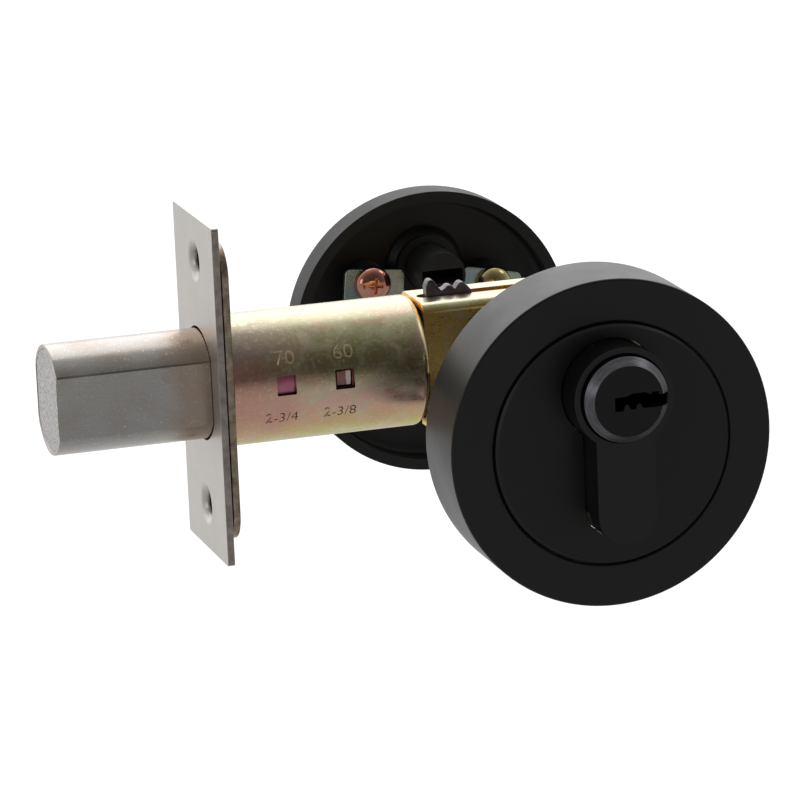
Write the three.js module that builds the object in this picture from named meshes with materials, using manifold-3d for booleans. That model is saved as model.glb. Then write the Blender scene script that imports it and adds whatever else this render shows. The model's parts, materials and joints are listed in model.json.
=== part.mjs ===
// Deadbolt door lock: a tubular deadbolt with adjustable backset, an outside rose with a
// profile cylinder and an inside rose with a thumb-turn. Millimetres, +Z up.
//
// Frame: the turning axis is the Y axis and the bolt slides along the X axis. They cross at
// the origin. The bolt points towards -X, the outside of the door is -Y, the inside is +Y.

import * as THREE from 'three';
import { mergeVertices } from 'three/addons/utils/BufferGeometryUtils.js';
import Module from 'manifold-3d';

const wasm = await Module();
wasm.setup();

// ---------------------------------------------------------------- driving dimensions

const GAP = 0.3;               // clearance between neighbouring pieces
const PIN_GAP = 0.15;          // clearance round a pin in its hole

const BACKSET = 60;            // turning axis to the front of the faceplate
const BACKSET_STEP = 10;       // the faceplate group slides out this far for a 70 mm backset
const THROW = 25;              // bolt travel

const FACE = { length: 57, width: 25, thick: 1.2, screwPitch: 41.5, screwR: 2.4, sinkR: 3.5 };
const BACKING = { length: 50, width: 24, thick: 1.2, corner: 5 };

const BOLT_R = 9.25;           // round of the bolt
const BOLT_FLAT = 7.6;         // half the distance across its two flats
const BOLT_OUT = 26;           // how far the thrown bolt stands out
const BOLT_LENGTH = 37;
const BOLT_SKIN = 0.9;

const SLEEVE = { inner: BOLT_R + GAP, outer: 10.1, end: -26 };
const TUBE = { inner: 10.4, outer: 11, end: -23.1, shoulder: 1.45, wall: 0.6 };
const WINDOW = { size: 3.3, low: -1.0, first: -38.1 };

const BRACKET = { half: 6.4, top: 10.6, bottom: -10.5, wall: 1.2, bend: 1.6, start: -22.8, end: 16, openX: -18.5 };
const TOP_SLOT = { half: 1.35, start: -22, end: 14.5 };

const CRANK = THROW / Math.SQRT2;      // crank radius that gives the throw in a quarter turn
const CAM = { hubR: 5.2, journalR: 4.5, half: 4.7, end: 6.6, armHalf: 2.8, armIn: 1.5, armOut: 4.4 };
const CAM_PIN_R = 1.5;

const DRAWBAR = { half: 1.0, tallStart: -48.6, tallEnd: -30.9, railOut: 9.2, railIn: 6.2 };
const LINK_PIN_R = 1.5;
const LINK_X = -34.8;
const LINK_Z = -5.4;

const ROSE_R = 27.5;
const ROSE_WALL = 2.2;
const OUTER = { face: -34.4, back: -20.1, centreZ: -9.2, discR: 20.1, discFront: -35, discThick: 2.4 };
const INNER = { r: 25.8, mouth: 64.6, floor: 68.8, face: 70.4, centreZ: -11.8, tilt: 6 };

const PROFILE = { barrelR: 8.5, legHalf: 5, bottom: -24.5 };
const CYL = { front: -41.2, back: -14, plugR: 7.15, plugFaceR: 5.9, plugProud: 2.3 };
const PIN = { count: 5, pitch: 4.2, firstY: -34.4, r: 1.3, boreR: 1.5, keyLength: 6.3, driverLength: 5.2 };
const COVER = { top: -22.6, bottom: -23.6 };

const TAIL = { half: 3.5, thick: 1.9, start: -13.9, end: 31 };
const HUB = { r: 4.3, front: 56.8 };
const TURN = { halfLength: 12.5, halfWidth: 3.6, start: 74.6, end: 84.6, neckR: 7 };
const TAB = { near: 5.4, far: 16.6, top: 0.1, bottom: -12, front: 62.3, thick: 1.2, loose: 6 };
const TAB_SCREW = { x: 11.4, z: -2.5, headR: 3.3, shankR: 1.7 };

// ---------------------------------------------------------------- finishes

function finish(color, roughness, metalness) {
  return () => new THREE.MeshStandardMaterial({ color, roughness, metalness });
}

const satinSteel = finish(0xb9b2a6, 0.35, 1);
const sinteredCore = finish(0x9b9a98, 0.8, 0.6);
const yellowZinc = finish(0xc8b070, 0.32, 1);
const pinkZinc = finish(0xb98e8a, 0.35, 1);
const darkZinc = finish(0x5a5058, 0.45, 0.9);
const whiteZinc = finish(0xa9c2c4, 0.35, 1);
const copper = finish(0xc98a62, 0.25, 1);
const satinBlack = finish(0x1b1c1f, 0.5, 0.3);
const brass = finish(0xc9a24a, 0.3, 1);
const springSteel = finish(0x8d9094, 0.35, 1);

// ---------------------------------------------------------------- solids

// Six times the volume inside a triangle mesh, negative when its faces point inwards.
function signedVolume(position, index) {
  const [a, b, c] = [new THREE.Vector3(), new THREE.Vector3(), new THREE.Vector3()];
  let total = 0;
  for (let i = 0; i < index.length; i += 3) {
    a.fromBufferAttribute(position, index[i]);
    b.fromBufferAttribute(position, index[i + 1]);
    c.fromBufferAttribute(position, index[i + 2]);
    total += a.dot(b.cross(c));
  }
  return total;
}

// A three.js geometry as a manifold solid: shared vertices merged, slivers dropped, faces out.
function solid(geometry) {
  const bare = geometry.clone();
  bare.deleteAttribute('normal');
  bare.deleteAttribute('uv');
  const merged = mergeVertices(bare, 1e-4);
  const source = merged.index.array;
  const kept = [];
  for (let i = 0; i < source.length; i += 3) {
    const [a, b, c] = [source[i], source[i + 1], source[i + 2]];
    if (a !== b && b !== c && c !== a) kept.push(a, b, c);
  }
  if (signedVolume(merged.attributes.position, kept) < 0) kept.reverse();
  return new wasm.Manifold(new wasm.Mesh({
    numProp: 3,
    vertProperties: new Float32Array(merged.attributes.position.array),
    triVerts: new Uint32Array(kept),
  }));
}

const join = (...parts) => parts.reduce((whole, part) => whole.add(part));
const cut = (body, ...tools) => tools.reduce((left, tool) => left.subtract(tool), body);

function box(x0, x1, y0, y1, z0, z1) {
  const shape = new THREE.BoxGeometry(x1 - x0, y1 - y0, z1 - z0);
  return solid(shape.translate((x0 + x1) / 2, (y0 + y1) / 2, (z0 + z1) / 2));
}

// A solid of revolution about Y through (x, z). The profile is a list of [radius, y].
function turnedY(profile, segments, x = 0, z = 0) {
  const points = profile.map(([radius, along]) => new THREE.Vector2(radius, along));
  return solid(new THREE.LatheGeometry(points, segments).translate(x, 0, z));
}

// The same about X, with a profile of [radius, x].
function turnedX(profile, segments, y = 0, z = 0) {
  const points = profile.map(([radius, along]) => new THREE.Vector2(radius, along));
  return solid(new THREE.LatheGeometry(points, segments).rotateZ(-Math.PI / 2).translate(0, y, z));
}

// The same about Z, with a profile of [radius, z].
function turnedZ(profile, segments, x, y) {
  const points = profile.map(([radius, along]) => new THREE.Vector2(radius, along));
  return solid(new THREE.LatheGeometry(points, segments).rotateX(Math.PI / 2).translate(x, y, 0));
}

const rod = (radius, from, to) => [[0, from], [radius, from], [radius, to], [0, to]];
const ring = (inner, outer, from, to) => [
  [inner, from], [outer, from], [outer, to], [inner, to], [inner, from],
];
const rodX = (radius, x0, x1, segments, y, z) => turnedX(rod(radius, x0, x1), segments, y, z);
const rodY = (radius, y0, y1, segments, x, z) => turnedY(rod(radius, y0, y1), segments, x, z);
const rodZ = (radius, z0, z1, segments, x, y) => turnedZ(rod(radius, z0, z1), segments, x, y);

function extruded(shape, depth, curveSegments) {
  return new THREE.ExtrudeGeometry(shape, { depth, curveSegments, bevelEnabled: false, steps: 1 });
}

// A prism along Y between y0 and y1. Its shape is drawn in (x, z).
function prismY(shape, y0, y1, curveSegments = 6) {
  return solid(extruded(shape, y1 - y0, curveSegments).rotateX(Math.PI / 2).translate(0, y1, 0));
}

// A prism along X between x0 and x1. Its shape is drawn in (y, z).
function prismX(shape, x0, x1, curveSegments = 6) {
  const turn = new THREE.Matrix4().makeBasis(
    new THREE.Vector3(0, 1, 0), new THREE.Vector3(0, 0, 1), new THREE.Vector3(1, 0, 0));
  return solid(extruded(shape, x1 - x0, curveSegments).applyMatrix4(turn).translate(x0, 0, 0));
}

function roundedRect(u0, u1, v0, v1, radius) {
  const shape = new THREE.Shape();
  shape.moveTo(u0 + radius, v0);
  shape.lineTo(u1 - radius, v0);
  shape.absarc(u1 - radius, v0 + radius, radius, -Math.PI / 2, 0);
  shape.lineTo(u1, v1 - radius);
  shape.absarc(u1 - radius, v1 - radius, radius, 0, Math.PI / 2);
  shape.lineTo(u0 + radius, v1);
  shape.absarc(u0 + radius, v1 - radius, radius, Math.PI / 2, Math.PI);
  shape.lineTo(u0, v0 + radius);
  shape.absarc(u0 + radius, v0 + radius, radius, Math.PI, 1.5 * Math.PI);
  return shape;
}

function polygon(points) {
  return new THREE.Shape(points.map(([u, v]) => new THREE.Vector2(u, v)));
}

// The bolt's section in (y, z): a round with two flats, grown outwards by `grow`.
function boltSection(grow) {
  const radius = BOLT_R + grow;
  const flat = BOLT_FLAT + grow;
  const edge = Math.acos(flat / radius);
  const shape = new THREE.Shape();
  shape.absarc(0, 0, radius, edge, Math.PI - edge);
  shape.absarc(0, 0, radius, Math.PI + edge, 2 * Math.PI - edge);
  shape.closePath();
  return shape;
}

// The section of a profile cylinder in (x, z): a round barrel over a round-ended leg.
function profileSection(grow) {
  const radius = PROFILE.barrelR + grow;
  const leg = PROFILE.legHalf + grow;
  const side = Math.acos(leg / radius);
  const legRound = PROFILE.bottom + PROFILE.legHalf;
  const shape = new THREE.Shape();
  shape.absarc(0, 0, radius, -side, Math.PI + side);
  shape.lineTo(-leg, legRound);
  shape.absarc(0, legRound, leg, Math.PI, 2 * Math.PI);
  shape.closePath();
  return shape;
}

// ---------------------------------------------------------------- the assembly

const lock = new THREE.Group();

// Adds one named piece to the assembly.
function piece(name, body, material) {
  const mesh = body.getMesh();
  const geometry = new THREE.BufferGeometry();
  geometry.setAttribute('position', new THREE.BufferAttribute(mesh.vertProperties, 3));
  geometry.setIndex(new THREE.BufferAttribute(mesh.triVerts, 1));
  geometry.computeVertexNormals();
  const object = new THREE.Mesh(geometry, material());
  object.name = name;
  lock.add(object);
}

// ---------------------------------------------------------------- faceplate group

function faceplateGroup() {
  const front = -BACKSET;
  const back = front + FACE.thick;
  const halfWidth = FACE.width / 2;
  const halfLength = FACE.length / 2;
  let plate = prismX(roundedRect(-halfWidth, halfWidth, -halfLength, halfLength, 0.6), front, back, 1);
  plate = cut(plate, prismX(boltSection(GAP), front - 1, back + 1, 6));
  for (const side of [-1, 1]) {
    const sink = [[0, front - 0.2], [FACE.sinkR, front - 0.2], [FACE.screwR, back - 0.3],
      [FACE.screwR, back + 1], [0, back + 1]];
    plate = cut(plate, turnedX(sink, 16, 0, side * FACE.screwPitch / 2));
  }
  piece('faceplate', plate, satinSteel);

  const backingFront = back + GAP;
  const backingBack = backingFront + BACKING.thick;
  const outline = roundedRect(-BACKING.width / 2, BACKING.width / 2,
    -BACKING.length / 2, BACKING.length / 2, BACKING.corner);
  let backing = prismX(outline, backingFront, backingBack, 3);
  backing = cut(backing, rodX(SLEEVE.outer + GAP, backingFront - 1, backingBack + 1, 32, 0, 0));
  for (const side of [-1, 1]) {
    const hole = rodX(FACE.screwR, backingFront - 1, backingBack + 1, 14, 0, side * FACE.screwPitch / 2);
    backing = cut(backing, hole);
  }
  piece('backing_plate', backing, yellowZinc);

  // The catch sits in its own opening in the sleeve, under the tube's window.
  const catchMiddle = WINDOW.low + WINDOW.size / 2;
  const catchHalf = 1.3;
  let sleeve = turnedX(ring(SLEEVE.inner, SLEEVE.outer, backingFront, SLEEVE.end), 36);
  sleeve = cut(sleeve, box(WINDOW.first - catchHalf - GAP, WINDOW.first + catchHalf + GAP,
    -SLEEVE.outer - 1, -SLEEVE.inner + 3, catchMiddle - catchHalf - GAP, catchMiddle + catchHalf + GAP));
  piece('inner_sleeve', sleeve, pinkZinc);

  const leaf = turnedX(ring(SLEEVE.inner, SLEEVE.outer, WINDOW.first - catchHalf,
    WINDOW.first + catchHalf), 36);
  const keep = box(WINDOW.first - 3, WINDOW.first + 3, -SLEEVE.outer - 1, -SLEEVE.inner + 3,
    catchMiddle - catchHalf, catchMiddle + catchHalf);
  piece('backset_catch', leaf.intersect(keep), pinkZinc);
}

// ---------------------------------------------------------------- bolt

function boltGroup() {
  const front = -BACKSET - BOLT_OUT;
  const back = front + BOLT_LENGTH;
  const rivetX = back - 3.5;
  const rivetR = 1.3;
  const slotY = [DRAWBAR.half + PIN_GAP - 0.05, DRAWBAR.half + 1.9];
  const slot = box(back - 7, back + 1, slotY[0], slotY[1], -9.3, -2.2);
  const cross = rodY(rivetR + PIN_GAP, -BOLT_R, BOLT_R, 12, rivetX, LINK_Z);

  const shell = prismX(boltSection(0), front, back, 6);
  const hollow = prismX(boltSection(-BOLT_SKIN), front - 1, back + 1, 6);
  piece('bolt_sleeve', cut(shell, hollow, cross), satinSteel);

  const guardR = 2.6;
  const bore = rodX(guardR + PIN_GAP, front + 3, back + 1, 14, 0, 2.5);
  let core = prismX(boltSection(-BOLT_SKIN - PIN_GAP), front + 0.2, back, 6);
  core = cut(core, bore, slot, cross);
  core = cut(core, box(back - 1, back + 1, -DRAWBAR.half - GAP, DRAWBAR.half + GAP, -BOLT_R, BOLT_R));
  piece('bolt_core', core, sinteredCore);
  piece('bolt_guard_pin', rodX(guardR, front + 3.3, back - 1.5, 14, 0, 2.5), springSteel);

  // The front drawbar runs beside the rear one, and the link pin joins them.
  const plateY = [DRAWBAR.half + GAP, DRAWBAR.half + GAP + 1.3];
  let plate = prismY(roundedRect(back - 6.6, LINK_X + 2.6, -7.6, -2.8, 1), plateY[0], plateY[1], 2);
  plate = cut(plate, rodY(rivetR + PIN_GAP, 0, 5, 12, rivetX, LINK_Z));
  plate = cut(plate, rodY(LINK_PIN_R + PIN_GAP, 0, 5, 12, LINK_X, LINK_Z));
  piece('drawbar_front', plate, darkZinc);
  piece('drawbar_rivet', rodY(rivetR, -5.2, 5.2, 12, rivetX, LINK_Z), springSteel);
  piece('link_pin', rodY(LINK_PIN_R, -2.4, plateY[1] + 0.6, 12, LINK_X, LINK_Z), springSteel);
}

// ---------------------------------------------------------------- tube and bracket

function tubeGroup() {
  const start = -BACKSET + FACE.thick + GAP + BACKING.thick + GAP;
  // The rear end is rolled inwards over a round shoulder.
  const bend = (radius, steps) => Array.from({ length: steps + 1 }, (_, i) => {
    const angle = (i / steps) * Math.PI / 2;
    return [TUBE.outer - TUBE.shoulder + radius * Math.cos(angle),
      TUBE.end - TUBE.shoulder + radius * Math.sin(angle)];
  });
  const rolled = [[TUBE.inner, start], [TUBE.outer, start], ...bend(TUBE.shoulder, 4),
    ...bend(TUBE.shoulder - TUBE.wall, 3).reverse(), [TUBE.inner, start]];
  let tube = turnedX(rolled, 36);
  for (const step of [0, BACKSET_STEP]) {
    const middle = WINDOW.first - step;
    tube = cut(tube, box(middle - WINDOW.size / 2, middle + WINDOW.size / 2, -TUBE.outer - 1, -8,
      WINDOW.low, WINDOW.low + WINDOW.size));
  }
  piece('outer_tube', tube, yellowZinc);

  const b = BRACKET;
  const outline = roundedRect(-b.half, b.half, b.bottom, b.top, b.bend);
  const inside = roundedRect(-b.half + b.wall, b.half - b.wall, b.bottom + b.wall, b.top - b.wall, 0.5);
  let channel = cut(prismX(outline, b.start, b.end, 2), prismX(inside, b.start - 1, b.end + 1, 1));
  // Its underside is open behind a short flange, which the drawbar passes through.
  channel = cut(channel, box(b.openX, b.end + 1, -b.half - 1, b.half + 1, b.bottom - 1, b.bottom + b.bend));
  channel = cut(channel, box(b.start - 1, b.openX + 0.5, -DRAWBAR.half - 2, DRAWBAR.half + 2,
    b.bottom - 1, b.bottom + b.wall + 0.7));
  channel = cut(channel, box(TOP_SLOT.start, TOP_SLOT.end, -TOP_SLOT.half, TOP_SLOT.half,
    b.top - 2 * b.bend, b.top + 1));
  channel = cut(channel, rodY(CAM.journalR + GAP, -b.half - 1, b.half + 1, 24, 0, 0));
  piece('bracket', channel, yellowZinc);

  // The detent spring is a bowed leaf over the cam hub, fixed beside the top slot.
  const bow = new THREE.Shape();
  const bowR = 24;
  const sweep = 0.34;
  const bowZ = CAM.hubR + GAP + bowR;
  bow.absarc(0, bowZ, bowR, -Math.PI / 2 - sweep, -Math.PI / 2 + sweep, false);
  bow.absarc(0, bowZ, bowR - 0.5, -Math.PI / 2 + sweep, -Math.PI / 2 - sweep, true);
  bow.closePath();
  piece('detent_spring', prismY(bow, 1.9, 4.7, 5), springSteel);
}

// ---------------------------------------------------------------- drawbar and turning train

function drawbarRear() {
  const d = DRAWBAR;
  const [crestStart, crestEnd] = [-20.6, -12.6];
  const valleyZ = 11.45;
  const forkHalf = 4.1;
  const forkX = -CRANK * Math.SQRT1_2;
  const forkBottom = -CRANK - 2.9;
  const crest = new THREE.Shape();
  crest.moveTo(d.tallStart, -d.railOut + 0.2);
  crest.lineTo(forkX - forkHalf, -d.railOut + 0.2);
  crest.lineTo(forkX - forkHalf, forkBottom);
  crest.lineTo(forkX + forkHalf, forkBottom);
  crest.lineTo(forkX + forkHalf, -d.railIn);
  crest.lineTo(d.tallEnd, -d.railIn);
  crest.lineTo(d.tallEnd, d.railIn);
  crest.lineTo(crestEnd, d.railIn);
  // The crest's three lobes are the stops of the throw, read from its rear end to its front.
  crest.lineTo(crestEnd, valleyZ - 0.55);
  for (const [lobeX, lobeZ, radius] of [[-14.5, 11.9, 0.75], [-16.5, 11.4, 0.8], [-19.6, 12.8, 0.65]]) {
    crest.absarc(lobeX, lobeZ, radius, 0.5, 2.4, false);
    crest.lineTo(lobeX - radius - 0.3, valleyZ);
  }
  crest.lineTo(crestStart, d.railOut + 0.2);
  crest.lineTo(crestStart - 1.2, d.railOut);
  crest.lineTo(d.tallStart, d.railOut);
  crest.closePath();
  let plate = prismY(crest, -d.half, d.half, 2);
  const slotHalf = LINK_PIN_R + 0.35;
  const linkSlot = roundedRect(LINK_X - BACKSET_STEP - slotHalf, LINK_X + slotHalf,
    LINK_Z - slotHalf, LINK_Z + slotHalf, slotHalf - 0.01);
  plate = cut(plate, prismY(linkSlot, -d.half - 1, d.half + 1, 3));
  const crankSlotHalf = CAM_PIN_R + 0.8;
  const crankSlot = roundedRect(forkX - crankSlotHalf, forkX + crankSlotHalf,
    -CRANK - CAM_PIN_R - 0.3, forkX + CAM_PIN_R + 0.4, 1);
  plate = cut(plate, prismY(crankSlot, -d.half - 1, d.half + 1, 2));
  piece('drawbar_rear', plate, darkZinc);
}

function turningTrain() {
  // The cam: a slotted hub with two arms that hold the crank pin between them.
  const pinX = -CRANK * Math.SQRT1_2;
  const pinZ = -CRANK * Math.SQRT1_2;
  const turned = [[0, -CAM.end], [CAM.journalR, -CAM.end], [CAM.journalR, -CAM.half], [CAM.hubR, -CAM.half],
    [CAM.hubR, CAM.half], [CAM.journalR, CAM.half], [CAM.journalR, CAM.end], [0, CAM.end]];
  let cam = turnedY(turned, 24);
  const arm = new THREE.Shape();
  const across = Math.PI / 4;
  arm.absarc(0, 0, CAM.armHalf + 1, -across, Math.PI - across, false);
  arm.absarc(pinX, pinZ, CAM.armHalf, Math.PI - across, 2 * Math.PI - across, false);
  arm.closePath();
  for (const side of [-1, 1]) {
    const near = Math.min(side * CAM.armIn, side * CAM.armOut);
    const far = Math.max(side * CAM.armIn, side * CAM.armOut);
    cam = join(cam, prismY(arm, near, far, 4));
  }
  cam = cut(cam, box(-TAIL.half - PIN_GAP, TAIL.half + PIN_GAP, -CAM.end - 1, CAM.end + 1,
    -TAIL.thick / 2 - PIN_GAP, TAIL.thick / 2 + PIN_GAP));
  cam = cut(cam, rodY(CAM_PIN_R + PIN_GAP, -CAM.end, CAM.end, 12, pinX, pinZ));
  piece('cam', cam, darkZinc);
  piece('cam_pin', rodY(CAM_PIN_R, -CAM.armOut - 0.2, CAM.armOut + 0.2, 12, pinX, pinZ), springSteel);

  // The tailpiece is scored across so that it can be broken to the door's thickness.
  let tail = box(-TAIL.half, TAIL.half, TAIL.start, TAIL.end, -TAIL.thick / 2, TAIL.thick / 2);
  const score = { count: 3, pitch: 5, half: 1, core: 0.55 };
  for (let i = 0; i < score.count; i += 1) {
    const y = TAIL.end - score.pitch * (i + 1);
    for (const side of [-1, 1]) {
      const edge = side * (TAIL.thick / 2 + 0.1);
      const notch = polygon([[y - score.half, edge], [y + score.half, edge], [y, side * score.core]]);
      tail = cut(tail, prismX(notch, -TAIL.half - 1, TAIL.half + 1));
    }
  }
  piece('tailpiece', tail, springSteel);
}

// ---------------------------------------------------------------- outside rose and cylinder

function outerRose() {
  const o = OUTER;
  const seat = o.discFront + o.discThick + GAP;
  const bore = o.discR + GAP;
  const ledgeR = 18;
  const ledgeBack = seat + 1.6;
  const wallR = ROSE_R - ROSE_WALL;
  const rim = [[ledgeR, seat], [bore, seat], [bore, o.face + 0.4], [bore + 0.4, o.face],
    [ROSE_R - 0.5, o.face], [ROSE_R, o.face + 0.5], [ROSE_R, o.back], [wallR, o.back],
    [wallR, ledgeBack], [ledgeR, ledgeBack], [ledgeR, seat]];
  let rose = turnedY(rim, 52, 0, o.centreZ);

  const disc = [[0, o.discFront], [o.discR - 0.6, o.discFront], [o.discR, o.discFront + 0.6],
    [o.discR, o.discFront + o.discThick], [0, o.discFront + o.discThick]];
  const opening = prismY(profileSection(GAP), o.discFront - 1, o.back, 7);
  piece('outer_disc', cut(turnedY(disc, 52, 0, o.centreZ), opening), satinBlack);

  // A clamp plate behind the ledge holds the cylinder's leg, with two screws into it.
  const clampFront = ledgeBack + GAP;
  const clampBack = clampFront + 1.6;
  let clamp = turnedY(rod(wallR - GAP, clampFront, clampBack), 40, 0, o.centreZ);
  clamp = cut(clamp, prismY(profileSection(GAP), clampFront - 1, clampBack + 1, 6));
  const screw = { x: 15.5, z: o.centreZ - 13.4, shankR: 1.5, headR: 2.8, head: 1.6, slot: 0.4 };
  const post = { x: 20.4, z: o.centreZ + 2, spigotR: 2.2, r: 3.6, threadR: 1.9, back: -13.8 };
  const rootFront = clampFront - 1.2;
  const headFront = clampBack + GAP;
  const headBack = headFront + screw.head;
  for (const side of [-1, 1]) {
    const screwX = side * screw.x;
    const postX = side * post.x;
    const screwHole = rodY(screw.shankR + PIN_GAP, seat - 1, clampBack + 1, 12, screwX, screw.z);
    const postHole = rodY(post.spigotR + PIN_GAP, seat - 1, clampBack + 1, 14, postX, post.z);
    clamp = cut(clamp, screwHole, postHole);
    rose = cut(rose, screwHole, postHole);
    const label = side < 0 ? 'left' : 'right';
    const screwProfile = [[0, rootFront], [screw.shankR, rootFront], [screw.shankR, headFront],
      [screw.headR, headFront], [screw.headR, headBack - 0.7], [screw.headR - 0.6, headBack], [0, headBack]];
    const slot = box(screwX - screw.headR - 1, screwX + screw.headR + 1, headBack - 0.7, headBack + 1,
      screw.z - screw.slot, screw.z + screw.slot);
    piece(`clamp_plate_screw_${label}`, cut(turnedY(screwProfile, 16, screwX, screw.z), slot), springSteel);
    const postProfile = [[0, rootFront], [post.spigotR, rootFront], [post.spigotR, headFront],
      [post.r, headFront], [post.r, post.back - 0.4], [post.r - 0.4, post.back], [post.threadR, post.back],
      [post.threadR, headFront + 1.7], [0, headFront + 1.7]];
    piece(`mounting_post_${label}`, turnedY(postProfile, 18, postX, post.z), springSteel);
  }
  piece('outer_rose', rose, satinBlack);
  piece('cylinder_clamp', clamp, springSteel);
}

const pinY = (i) => PIN.firstY + i * PIN.pitch;
const plugBore = CYL.plugR + PIN_GAP;
const driverTop = -plugBore - 0.02;
const keyPinTop = -CYL.plugR + PIN.keyLength;

function cylinder() {
  let body = prismY(profileSection(0), CYL.front, CYL.back, 8);
  body = cut(body, rodY(plugBore, CYL.front - 1, CYL.back + 1, 36, 0, 0));
  body = cut(body, box(-2.1, 2.1, CYL.front + 4, CYL.back - 2, PROFILE.bottom - 1, COVER.top + 0.2));
  for (let i = 0; i < PIN.count; i += 1) {
    body = cut(body, rodZ(PIN.boreR, COVER.top, -plugBore + 1, 12, 0, pinY(i)));
  }
  piece('cylinder_body', body, satinBlack);
  piece('chamber_cover', box(-1.8, 1.8, CYL.front + 4.3, CYL.back - 2.3, COVER.bottom, COVER.top), brass);

  // The plug: a chamfered face proud of the barrel, a flat warded keyway open to one side, and
  // a recess behind for the tailpiece's end, which turns free in it.
  const face = CYL.front - CYL.plugProud;
  const plugBack = CYL.back + 1.6;
  const turned = [[0, face], [CYL.plugFaceR, face], [CYL.plugR, face + 1.4], [CYL.plugR, CYL.back + 0.2],
    [CYL.plugR - 0.9, CYL.back + 0.2], [CYL.plugR - 0.9, plugBack], [0, plugBack]];
  let plug = turnedY(turned, 36);
  const keyway = polygon([[-2.4, -1.5], [-1, -1.5], [-0.6, -0.5], [-0.15, -0.5], [0.3, -1.4], [1.1, -1.4],
    [1.55, -0.5], [1.9, -0.5], [2.4, -1.35], [8, -1.35], [8, 0.65], [5.1, 0.65], [5.1, 1.2], [4, 1.2],
    [3.8, 0.75], [2.7, 1.25], [0.6, 1.25], [-0.4, 0.85], [-2.4, 0.8]]);
  const keywayBack = pinY(PIN.count - 1) + 3;
  plug = cut(plug, prismY(keyway, face - 1, keywayBack));
  for (let i = 0; i < PIN.count; i += 1) {
    plug = cut(plug, rodZ(PIN.boreR, -CYL.plugR - 1, keyPinTop + 0.9, 12, 0, pinY(i)));
  }
  plug = cut(plug, rodY(TAIL.half + 0.6, TAIL.start - GAP, plugBack + 1, 20, 0, 0));
  piece('cylinder_plug', plug, satinBlack);

  const clip = turnedY(ring(CYL.plugR - 0.7, CYL.plugR + 0.9, CYL.back + 0.5, CYL.back + 1.3), 28);
  piece('plug_clip', cut(clip, box(-2, 2, CYL.back, CYL.back + 2, 3, 10)), springSteel);
}

// One coil spring along Z, as a section swept along a helix.
class Helix extends THREE.Curve {
  constructor(radius, turns, low, high, y) {
    super();
    Object.assign(this, { radius, turns, low, high, y });
  }

  getPoint(t, target = new THREE.Vector3()) {
    const angle = 2 * Math.PI * this.turns * t;
    const z = this.low + (this.high - this.low) * t;
    return target.set(this.radius * Math.cos(angle), this.y + this.radius * Math.sin(angle), z);
  }
}

function pinStacks() {
  const wireR = 0.17;
  const keyTip = 0.7;
  const top = -CYL.plugR + 0.05;
  for (let i = 0; i < PIN.count; i += 1) {
    const y = pinY(i);
    const keyPin = [[0, top], [PIN.r - 0.3, top], [PIN.r, top + 0.5], [PIN.r, keyPinTop - keyTip],
      [0.4, keyPinTop], [0, keyPinTop]];
    piece(`key_pin_${i + 1}`, turnedZ(keyPin, 10, 0, y), brass);
    const low = driverTop - PIN.driverLength;
    const driver = [[0, low], [PIN.r, low], [PIN.r, driverTop - 0.3], [PIN.r - 0.3, driverTop], [0, driverTop]];
    piece(`driver_pin_${i + 1}`, turnedZ(driver, 10, 0, y), springSteel);
    const coil = new Helix(PIN.r - 0.25, 3.5, COVER.top + 0.4, low - 0.4, y);
    const wire = new THREE.Shape();
    wire.absarc(0, 0, wireR, 0, 2 * Math.PI);
    const swept = new THREE.ExtrudeGeometry(wire, {
      steps: 30, curveSegments: 2, bevelEnabled: false, extrudePath: coil,
    });
    piece(`pin_spring_${i + 1}`, solid(swept), springSteel);
  }
}

// ---------------------------------------------------------------- inside rose and thumb-turn

// The inside rose hangs slightly turned about its spindle until its screws are drawn up.
const hung = (body) => body.rotate([0, INNER.tilt, 0]);

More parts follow.
